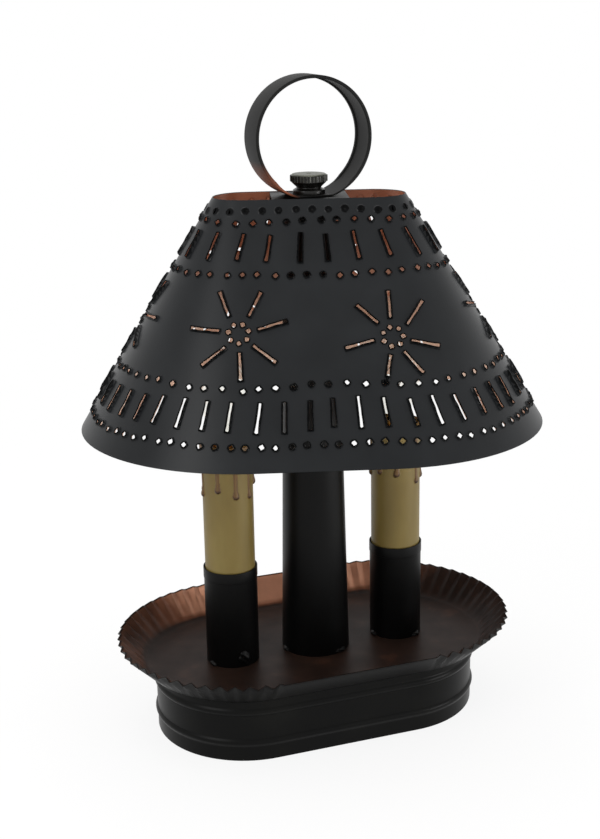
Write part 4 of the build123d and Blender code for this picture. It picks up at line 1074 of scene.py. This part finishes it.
# %% [markdown]
# ## Punched shade: the flat sheet
# A constrained Delaunay triangulation joins loops and grid, and the triangles inside a torn edge are then
# left out. The sheet also gets a gentle waviness of a tenth of a millimetre, as hand-rolled tin has, in
# whole waves round the shade, so that its two ends meet.

# %% Flat punched sheet
WAVE, WAVES_ROUND, WAVE_DOWN, SNAP, LIP_FULL_SHADE = 0.12, 3, 33.0, 1e-5, 0.5
flat, _, triangles, origin, _, _ = delaunay_2d_cdt([Vector(p) for p in flat_points], loop_edges, [], 1, SNAP)
lift_of = [max((lifts[k] for k in ids), key=abs, default=0.0) for ids in origin]
hole_of = [max((edge_of[k] for k in ids), default=-1) for ids in origin]
kept = []
for a, b, c in triangles:
    if hole_of[a] < 0 or not hole_of[a] == hole_of[b] == hole_of[c]:
        kept.append((a, b, c))
points = []
for p, lift in zip(flat, lift_of):
    wave = math.sin(math.pi * WAVES_ROUND * p.x / HALF_SHEET + 1) * math.sin(p.y / WAVE_DOWN + 2)
    points.append((p.x * MM, -p.y * MM, (lift - WAVE * (1 + wave)) * MM))
sheet = bpy.data.meshes.new("punched_shade_skin")
sheet.from_pydata(points, [], kept)
if any(face.normal.z < 0 for face in sheet.polygons):
    sheet.flip_normals()
shade = into_scene("punched_shade_skin", sheet)
# The lip share also drives painted shade, a darker black, on the raised lips.
carry(shade, "lip", [min(abs(lift) / LIP_FULL_SHADE, 1) for lift in lift_of])
print("flat sheet:", len(sheet.polygons), "triangles,", len(triangles) - len(kept), "punched out")

# %% [markdown]
# ## Punched shade: rolling
# Rolling is a rule: along the flats a point stays straight, along the ends it turns round a cone whose
# radius grows down the slope, and a lifted point moves out along the sheet's normal. A Bend modifier
# makes neither a cone nor straight sides, so a tree does this to every point, with a list of sums as on
# the tray. The last step turns the shade a little on its rod, as it hangs on the real lamp.

# %% Roll the sheet
roll_sizes = {"Half straight": SHADE_HALF * MM, "Roll radius": ROLL_RADIUS * MM,
              "Top radius": SHADE_TOP_RADIUS * MM, "Slope": SLOPE, "Top height": SHADE_TOP * MM,
              "Turn": math.radians(SHADE_TURN)}
tree, sizes = new_tree("roll the sheet", roll_sizes)
known = {key: sizes[key] for key in roll_sizes}
place = add(tree, "ShaderNodeSeparateXYZ", {0: add(tree, "GeometryNodeInputPosition")}).outputs
known.update({"flat x": place[0], "flat y": place[1], "lift": place[2]})
roll_sums = (
    ("sine", "SINE", "Slope"), ("cosine", "COSINE", "Slope"),
    ("spread", "MULTIPLY", "flat y", "sine"), ("radius", "SUBTRACT", "Top radius", "spread"),
    ("level", "MULTIPLY_ADD", "flat y", "cosine", "Top height"),
    ("reach", "ABSOLUTE", "flat x"), ("side", "SIGN", "flat x"),
    ("past", "SUBTRACT", "reach", "Half straight"), ("turned", "DIVIDE", "past", "Roll radius"),
    ("from 0", "MAXIMUM", "turned", 0.0), ("bend", "MINIMUM", "from 0", math.pi),
    ("past end", "MULTIPLY_ADD", "Roll radius", -math.pi, "past"), ("behind", "MAXIMUM", "past end", 0.0),
    ("front", "MINIMUM", "reach", "Half straight"),
    ("bend sine", "SINE", "bend"), ("bend cosine", "COSINE", "bend"),
    ("lifted", "MULTIPLY_ADD", "lift", "cosine", "radius"),
    ("around", "MULTIPLY_ADD", "lifted", "bend sine", "front"), ("along", "SUBTRACT", "around", "behind"),
    ("x", "MULTIPLY", "along", "side"),
    ("depth", "MULTIPLY", "lifted", "bend cosine"), ("y", "MULTIPLY", "depth", -1.0),
    ("z", "MULTIPLY_ADD", "lift", "sine", "level"),
)
for name, operation, *inputs in roll_sums:
    fed = {i: known.get(value, value) for i, value in enumerate(inputs)}
    known[name] = add(tree, "ShaderNodeMath", fed, operation=operation)
rolled = add(tree, "ShaderNodeCombineXYZ", {0: known["x"], 1: known["y"], 2: known["z"]})
set_askew = add(tree, "ShaderNodeVectorRotate", {"Vector": rolled, "Angle": sizes["Turn"]},
                rotation_type="Z_AXIS")
moved = add(tree, "GeometryNodeSetPosition", {"Geometry": sizes["Geometry"], "Position": set_askew})
end_tree(tree, moved, shade_black)
run_tree(shade, tree, roll_sizes)
print("rolled shade:", [round(v / MM, 1) for v in shade.dimensions], "mm")

# %% [markdown]
# ## Punched shade: seam and wall
# The two ends of the sheet are joined at the back of the shade. The torn lips get their own dull black,
# which is painted shade.
# Then the sheet gets its thickness, with copper on the inside: the modifier gives each inner face the
# finish that follows its outer one in the list, which is why copper stands there twice.

# %% Join the seam and thicken the sheet
WELD, SHADE_SHEET, LIP_FINISH, LIP_SHARE = 0.01, 0.42, 2, 0.5
seam = bmesh.new()
seam.from_mesh(shade.data)
bmesh.ops.remove_doubles(seam, verts=seam.verts, dist=WELD * MM)
seam.to_mesh(shade.data)
seam.free()
for finish in (copper_wash, lip_shade_black, copper_wash):
    shade.data.materials.append(finish)
# Faces of the torn lips take the duller black, as painted shade.
lips = shade.data.attributes["lip"].data
for face in shade.data.polygons:
    torn = sum(lips[i].value for i in face.vertices) > LIP_SHARE * len(face.vertices)
    face.material_index = LIP_FINISH if torn else 0
wall = shade.modifiers.new("sheet thickness", "SOLIDIFY")
wall.thickness, wall.offset, wall.use_even_offset = SHADE_SHEET * MM, -1.0, False
wall.material_offset, wall.material_offset_rim = 1, 0
bake(shade)
fit(shade, "shade", "black_tin", "shade_skin", crease=55)

# %% [markdown]
# ## Ring handle
# The handle is a strip of tin with both edges hemmed over, rolled to a ring with a flat seat that the
# thumb nut clamps. A hemmed section is carried round the ring; the hems fade out at the seat. On the
# lower left a copper tint is painted on: a painted reflection of the copper inside the shade.

# %% Ring handle
ring_low, ring_high = (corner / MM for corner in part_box("ring_handle"))
RING_RADIUS, RING_STRIP, RING_HEM, RING_HEM_WIDTH = (ring_high.x - ring_low.x) / 2, 0.8, 0.6, 1.8
RING_STEPS, SEAT_STEPS, HEM_FROM, HEM_FADE, LEAST_HEM = 144, 12, 3.0, 3.0, 0.02
REFLECTION_DROP, REFLECTION_RISE, REFLECTION_LEFT, REFLECTION_WIDTH, REFLECTION_MOST = 9, 12, 7, 5, 0.8
ring_centre = ring_high.z - RING_RADIUS
half_wide = (ring_high.y - ring_low.y) / 2
inside, hemmed = half_wide - RING_HEM_WIDTH, RING_STRIP + RING_HEM
strip = soften([(-half_wide, 0, 0.5), (half_wide, 0, 0.5), (half_wide, hemmed, 0.5), (inside, hemmed, 0.45),
                (inside, RING_STRIP, 0.2), (-inside, RING_STRIP, 0.2), (-inside, hemmed, 0.45),
                (-half_wide, hemmed, 0.5)])
seat_angle = math.acos((ring_centre - ring_low.z) / RING_RADIUS)
ring_line = []
for k in range(RING_STEPS + 1):
    angle = -math.pi / 2 + seat_angle + (2 * math.pi - 2 * seat_angle) * k / RING_STEPS
    out_x, out_z = math.cos(angle), math.sin(angle)
    ring_line.append((out_x * RING_RADIUS, ring_centre + out_z * RING_RADIUS, out_x, out_z))
seat_end = math.sin(seat_angle) * RING_RADIUS
for k in range(1, SEAT_STEPS):
    ring_line.append((-seat_end + 2 * seat_end * k / SEAT_STEPS, ring_low.z, 0.0, -1.0))
rows = []
for x, z, out_x, out_z in ring_line:
    fade = max(share_of(z, ring_low.z + HEM_FROM, HEM_FADE), LEAST_HEM)
    row = []
    for y, depth in strip:
        deep = depth if depth <= RING_STRIP else RING_STRIP + (depth - RING_STRIP) * fade
        row.append((x - out_x * deep, y, z - out_z * deep))
    rows.append(row)
ring = new_piece("hemmed_ring_handle", *skin(rows), ring_black)
# Painted reflection: a copper tint on the lower left of the ring, where the shade's copper would mirror.
copper_share = []
for vert in ring.data.vertices:
    x, y, z = vert.co / MM
    copper_share.append(REFLECTION_MOST * share_of(ring_centre - z, REFLECTION_DROP, REFLECTION_RISE) * share_of(-x, REFLECTION_LEFT, REFLECTION_WIDTH))
carry(ring, "copper_showing", copper_share)
fit(ring, "handle", "black_tin", "ring_handle", crease=45)

# %% [markdown]
# ## Thumb nut: the body
# The finial is a turned nut: a skirt on the strip, a waist, and a flared head with a straight knurl. The
# body is a turned skin, and the faces that look up at its top are paler.

# %% Thumb nut body
nut_low, nut_high = (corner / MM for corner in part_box("finial"))
NUT_FOOT, NUT_TOP, NUT_SKIRT, NUT_WAIST, NUT_HEAD = nut_low.z, nut_high.z, 6.75, 5.0, 7.45
FACES_UP, PALE_TOP_DEPTH = 0.6, 0.6
nut_section = soften([(NUT_SKIRT, NUT_FOOT, 0.2), (NUT_SKIRT, NUT_FOOT + 1.6, 0.4),
                      (NUT_WAIST, NUT_FOOT + 2.6, 0.5), (NUT_HEAD, NUT_FOOT + 4.9, 0.4),
                      (NUT_HEAD, NUT_TOP - 0.5, 0.2), (6.9, NUT_TOP, 0.3),
                      (1.2, NUT_TOP, 0.4), (0.5, NUT_TOP - 0.4, 0.2)])
nut_section = [(0, NUT_FOOT)] + nut_section + [(0, NUT_TOP - 0.45)]
nut = new_piece("thumb_nut_body", *skin(turned(nut_section, 0.0, 80), along=False), finishes["aged_bronze"],
                finishes["worn_bronze"])
# Faces that look up at the top of the nut take the paler finish.
for face in nut.data.polygons:
    on_top = face.normal.z > FACES_UP and face.center.z / MM > NUT_TOP - PALE_TOP_DEPTH
    face.material_index = 1 if on_top else 0
fit(nut, "finial", "aged_bronze", "finial", crease=40)

# %% [markdown]
# ## Thumb nut: the knurl
# A straight knurl is many equal ridges, rolled into the edge of the head. So one small six-sided ridge is
# set round the head by a tree, and each ridge turns to face away from the axis.

# %% Thumb nut knurl
KNURL_LOW, KNURL_HIGH = NUT_FOOT + 5.15, NUT_TOP - 0.55
knurl_sizes = {"Ridges": 34, "Head radius": 7.4 * MM, "Ridge size": 0.45 * MM,
               "Ridge height": (KNURL_HIGH - KNURL_LOW) * MM, "Middle": (KNURL_HIGH + KNURL_LOW) / 2 * MM}
tree, sizes = new_tree("knurl the nut", knurl_sizes)
ridge = add(tree, "GeometryNodeMeshCylinder",
            {"Vertices": 6, "Radius": sizes["Ridge size"], "Depth": sizes["Ridge height"]})
circle = add(tree, "GeometryNodeMeshCircle", {"Vertices": sizes["Ridges"], "Radius": sizes["Head radius"]})
facing = add(tree, "FunctionNodeAlignEulerToVector", {"Vector": add(tree, "GeometryNodeInputPosition")},
             axis="X", pivot_axis="Z")
set_round = add(tree, "GeometryNodeInstanceOnPoints",
                {"Points": circle, "Instance": ridge, "Rotation": facing})
height = add(tree, "ShaderNodeCombineXYZ", {2: sizes["Middle"]})
raised = add(tree, "GeometryNodeTransform", {"Geometry": set_round, "Translation": height})
end_tree(tree, raised, finishes["rubbed_bronze"])
knurl = into_scene("thumb_nut_knurl", bpy.data.meshes.new("thumb_nut_knurl"))
run_tree(knurl, tree, knurl_sizes)
fit(knurl, "finial", "aged_bronze")

# %% [markdown]
# ## Floor
# The lamp stands on a plain pale floor. It is white to the camera and in reflections, while the light
# that it throws back on the lamp stays at a plain level, so colours render about as written. Near the
# lamp a small share of its real paint shows through, which keeps a faint shadow.

# %% Floor
FLOOR_SIZE, SHADOW_REACH, FADE_END, SHADOW_SHARE = 400.0, 0.2, 0.6, 0.86


def seen_directly(tree):
    """1 where the eye, a mirror or a glass sees a surface, 0 where it only lights the lamp."""
    path = add(tree, "ShaderNodeLightPath").outputs
    mirrored = add(tree, "ShaderNodeMath", {0: path["Is Glossy Ray"], 1: path["Is Transmission Ray"]},
                   operation="MAXIMUM")
    return add(tree, "ShaderNodeMath", {0: path["Is Camera Ray"], 1: mirrored}, operation="MAXIMUM")


bpy.ops.mesh.primitive_plane_add(size=FLOOR_SIZE)
floor = bpy.context.object
floor.name = "studio_floor"
pale, tree, place = new_finish("pale_studio_floor")
paint = add(tree, "ShaderNodeBsdfDiffuse", {"Color": linear("#f2f2f2")})
white = add(tree, "ShaderNodeEmission", {"Color": (1, 1, 1, 1), "Strength": 1.0})
away = add(tree, "ShaderNodeVectorMath", {0: place}, operation="LENGTH").outputs["Value"]
share = add(tree, "ShaderNodeMapRange",
            {"Value": away, 1: SHADOW_REACH, 2: FADE_END, 3: SHADOW_SHARE, 4: 1.0})
seen = add(tree, "ShaderNodeMath", {0: seen_directly(tree), 1: share}, operation="MULTIPLY")
both_ways = add(tree, "ShaderNodeMixShader", {0: seen, 1: paint, 2: white})
add(tree, "ShaderNodeOutputMaterial", {"Surface": both_ways})
floor.data.materials.append(pale)
print("floor:", floor.name)

# %% [markdown]
# ## World and lamps
# An even white world gives most of the light. Three weak soft boxes add the soft gloss: a low one on the
# right, a high one on the left and one overhead. Each is turned to the middle of the lamp.

# %% World and lamps
WORLD_LEVEL, AIM = 0.85, Vector((0, 0, 0.14))
SOFT_BOXES = (("soft box right", (0.7, -0.6, 0.06), 0.4, 4.4),
              ("soft box left", (-0.9, -0.45, 0.75), 0.5, 3.6),
              ("soft box above", (-0.05, 0.1, 1.2), 0.8, 4.0))
world = bpy.data.worlds.new("white studio")
scene.world = world
world.use_nodes = True
tree = world.node_tree
tree.nodes.clear()
level = add(tree, "ShaderNodeMapRange", {"Value": seen_directly(tree), 3: WORLD_LEVEL, 4: 1.0})
sky = add(tree, "ShaderNodeBackground", {"Color": (1, 1, 1, 1), "Strength": level})
add(tree, "ShaderNodeOutputWorld", {"Surface": sky})
for name, spot, size, watts in SOFT_BOXES:
    lamp = bpy.data.lights.new(name, "AREA")
    lamp.size, lamp.energy = size, watts
    stand = into_scene(name, lamp)
    stand.location = spot
    stand.rotation_euler = (AIM - Vector(spot)).to_track_quat("-Z", "Y").to_euler()
print("lamps:", [box[0] for box in SOFT_BOXES])

# %% [markdown]
# ## Camera
# The camera is where the photograph was taken, found by fitting the lamp's sizes to the picture. Its
# place is in millimetres, and its lens comes from a focal length in pixels of the picture's long side.

# %% Camera
YAW, PITCH, ROLL = math.radians(-19.58), math.radians(16.61), math.radians(-1.01)
EYE, FOCAL_PIXELS, LONG_SIDE, SENSOR = Vector((-204.26, -558.14, 314.35)), 1420.07, 839, 36.0
ahead = Vector((-math.sin(YAW) * math.cos(PITCH), math.cos(YAW) * math.cos(PITCH), -math.sin(PITCH)))
level = Vector((math.cos(YAW), math.sin(YAW), 0))
plumb = level.cross(ahead)
right = level * math.cos(ROLL) + plumb * math.sin(ROLL)
upward = plumb * math.cos(ROLL) - level * math.sin(ROLL)
lens = bpy.data.cameras.new("photograph")
lens.sensor_width, lens.lens = SENSOR, FOCAL_PIXELS * SENSOR / LONG_SIDE
lens.clip_start, lens.clip_end = 0.01, 1000.0
camera = into_scene("photograph", lens)
turn = Matrix((right, upward, -ahead)).transposed()
camera.matrix_world = Matrix.Translation(EYE * MM) @ turn.to_4x4()
scene.camera = camera
print("lens:", round(lens.lens, 2), "mm")
